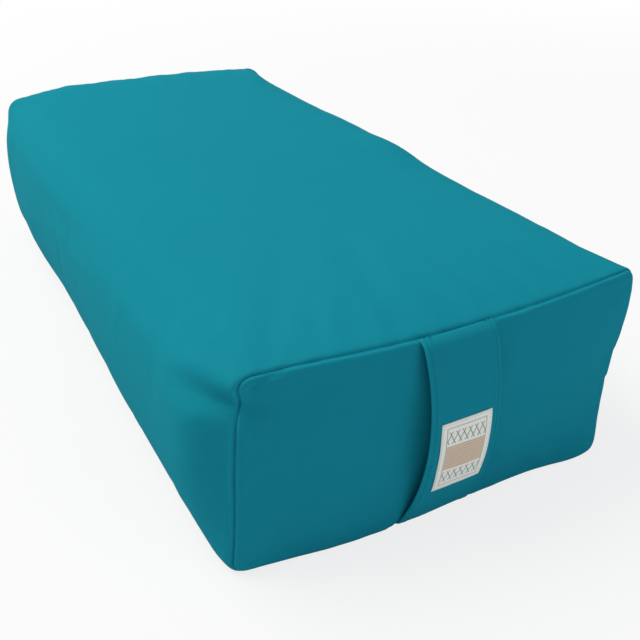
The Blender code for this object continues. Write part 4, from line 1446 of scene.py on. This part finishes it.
def foam_block(name, node):
    """A foam slab: a box with rounded edges, a superellipsoid of high power, drawn in at the corners."""
    low, high = (np.array(corner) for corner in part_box(node))
    turn = np.linspace(0, 2 * math.pi, 96, endpoint=False)[None, :]
    rise = np.linspace(-math.pi / 2, math.pi / 2, 40)[1:-1, None]
    level = powered(np.cos(rise), FOAM_EDGE_POWER)
    x = level * powered(np.cos(turn), FOAM_OUTLINE_POWER)
    y = level * powered(np.sin(turn), FOAM_OUTLINE_POWER)
    z = powered(np.sin(rise), FOAM_RISE_POWER) * np.ones_like(turn)
    points = (low + high) / 2 + np.stack([x, y, z], axis=2) * (high - low) / 2
    local = points - MIDDLE
    across = np.clip(local[..., 0] / (WIDTH / 2), -1, 1)
    share = np.clip(local[..., 1] / HALF_LENGTH, -1, 1)
    up = np.clip(local[..., 2] / HEIGHT, 0, 1)
    points = points + corner_draw(across, share, up) * [1.0, 1.0, 0.0]
    return make_mesh(name, shell_points(points), shell_faces(*points.shape[:2], -1), core_foam)


inner_pieces = (
    (tube_between("liner_tube", *LINER_TUBE, liner_cotton), "liner_cotton", "liner_wrap"),
    (end_pad("liner_front", -1, *LINER_END, liner_cotton), "liner_cotton", "liner_front_panel"),
    (end_pad("liner_rear", 1, *LINER_END, liner_cotton), "liner_cotton", "liner_rear_panel"),
    (tube_between("batting_tube", *BATTING_TUBE, batting_fleece), "cotton_batting", "batting_sleeve"),
    (end_pad("batting_front", -1, *BATTING_PAD, batting_fleece), "cotton_batting", "batting_front_pad"),
    (end_pad("batting_rear", 1, *BATTING_PAD, batting_fleece), "cotton_batting", "batting_rear_pad"),
    (foam_block("foam_core_lower", "foam_slab_lower"), "core_foam", "foam_slab_lower"),
    (foam_block("foam_core_upper", "foam_slab_upper"), "core_foam", "foam_slab_upper"),
)
for inner_piece, inner_slot, inner_node in inner_pieces:
    place(inner_piece, "root", inner_slot, inner_node)


# The studio
def make_floor():
    """A wide pale floor that keeps the bolster's shadow. Seen directly it is mostly white, and wholly
    white far from the bolster, where it meets the world."""
    floor = Finish("studio floor", (0.80, 0.80, 0.80), 0.9)
    far = floor.fed("VectorMath", "Value", {0: floor.object_places()}, operation="LENGTH")
    fading = {"Value": far, **FLOOR_FADE}
    fade = floor.fed("MapRange", "Result", fading, interpolation_type="SMOOTHSTEP")
    glow = floor.fed("Emission", 0, {"Color": (*WHITE, 1.0)})
    share = floor.times(floor.seen_directly(), fade)
    surface = floor.fed("MixShader", 0, {0: share, 1: floor.shader.outputs[0], 2: glow})
    floor.feed(floor.nodes["Material Output"].inputs["Surface"], surface)
    size = FLOOR_HALF_SIZE
    corners = [(x, y, FLOOR_LEVEL) for x, y in ((-size, -size), (size, -size), (size, size), (-size, size))]
    make_mesh("studio_floor", corners, [(0, 1, 2, 3)], floor.material)


def make_world():
    """A plain world: white where the camera looks at it, and a soft even light on the bolster."""
    world = bpy.data.worlds.new("studio")
    bpy.context.scene.world = world
    world.use_nodes = True
    sky = NodeTree(world.node_tree)
    background = sky.nodes["Background"]
    seen = sky.seen_directly()
    sky.feed(background.inputs["Color"], sky.mixed(seen, WORLD_COLOUR, WHITE))
    sky.feed(background.inputs["Strength"], sky.times_plus(seen, 1 - WORLD_STRENGTH, WORLD_STRENGTH))


def soft_lamp(name, location, size, power, colour):
    """A square area lamp that points its own -Z at the origin, with no roll."""
    lamp = bpy.data.lights.new(name, "AREA")
    lamp.shape = "SQUARE"
    lamp.size = size
    lamp.energy = power
    lamp.color = colour
    made = link(name, lamp)
    made.location = location
    x, y, z = location
    made.rotation_euler = (math.atan2(math.hypot(x, y), z), 0.0, math.atan2(x, -y))


def make_camera():
    """The photograph's camera, fitted to the bolster's outline, seams and strap."""
    camera = bpy.data.cameras.new("photo camera")
    camera.lens = CAMERA_LENS
    camera.sensor_width = CAMERA_SENSOR
    camera.clip_start = 0.02
    made = link("photo camera", camera)
    made.location = CAMERA_PLACE
    made.rotation_euler = (math.radians(90 - CAMERA_LOOKS_DOWN), 0.0, math.radians(CAMERA_TURN))
    bpy.context.scene.camera = made


make_floor()
make_world()
for lamp_settings in LAMPS:
    soft_lamp(*lamp_settings)
make_camera()
bpy.context.scene.view_settings.view_transform = "Standard"
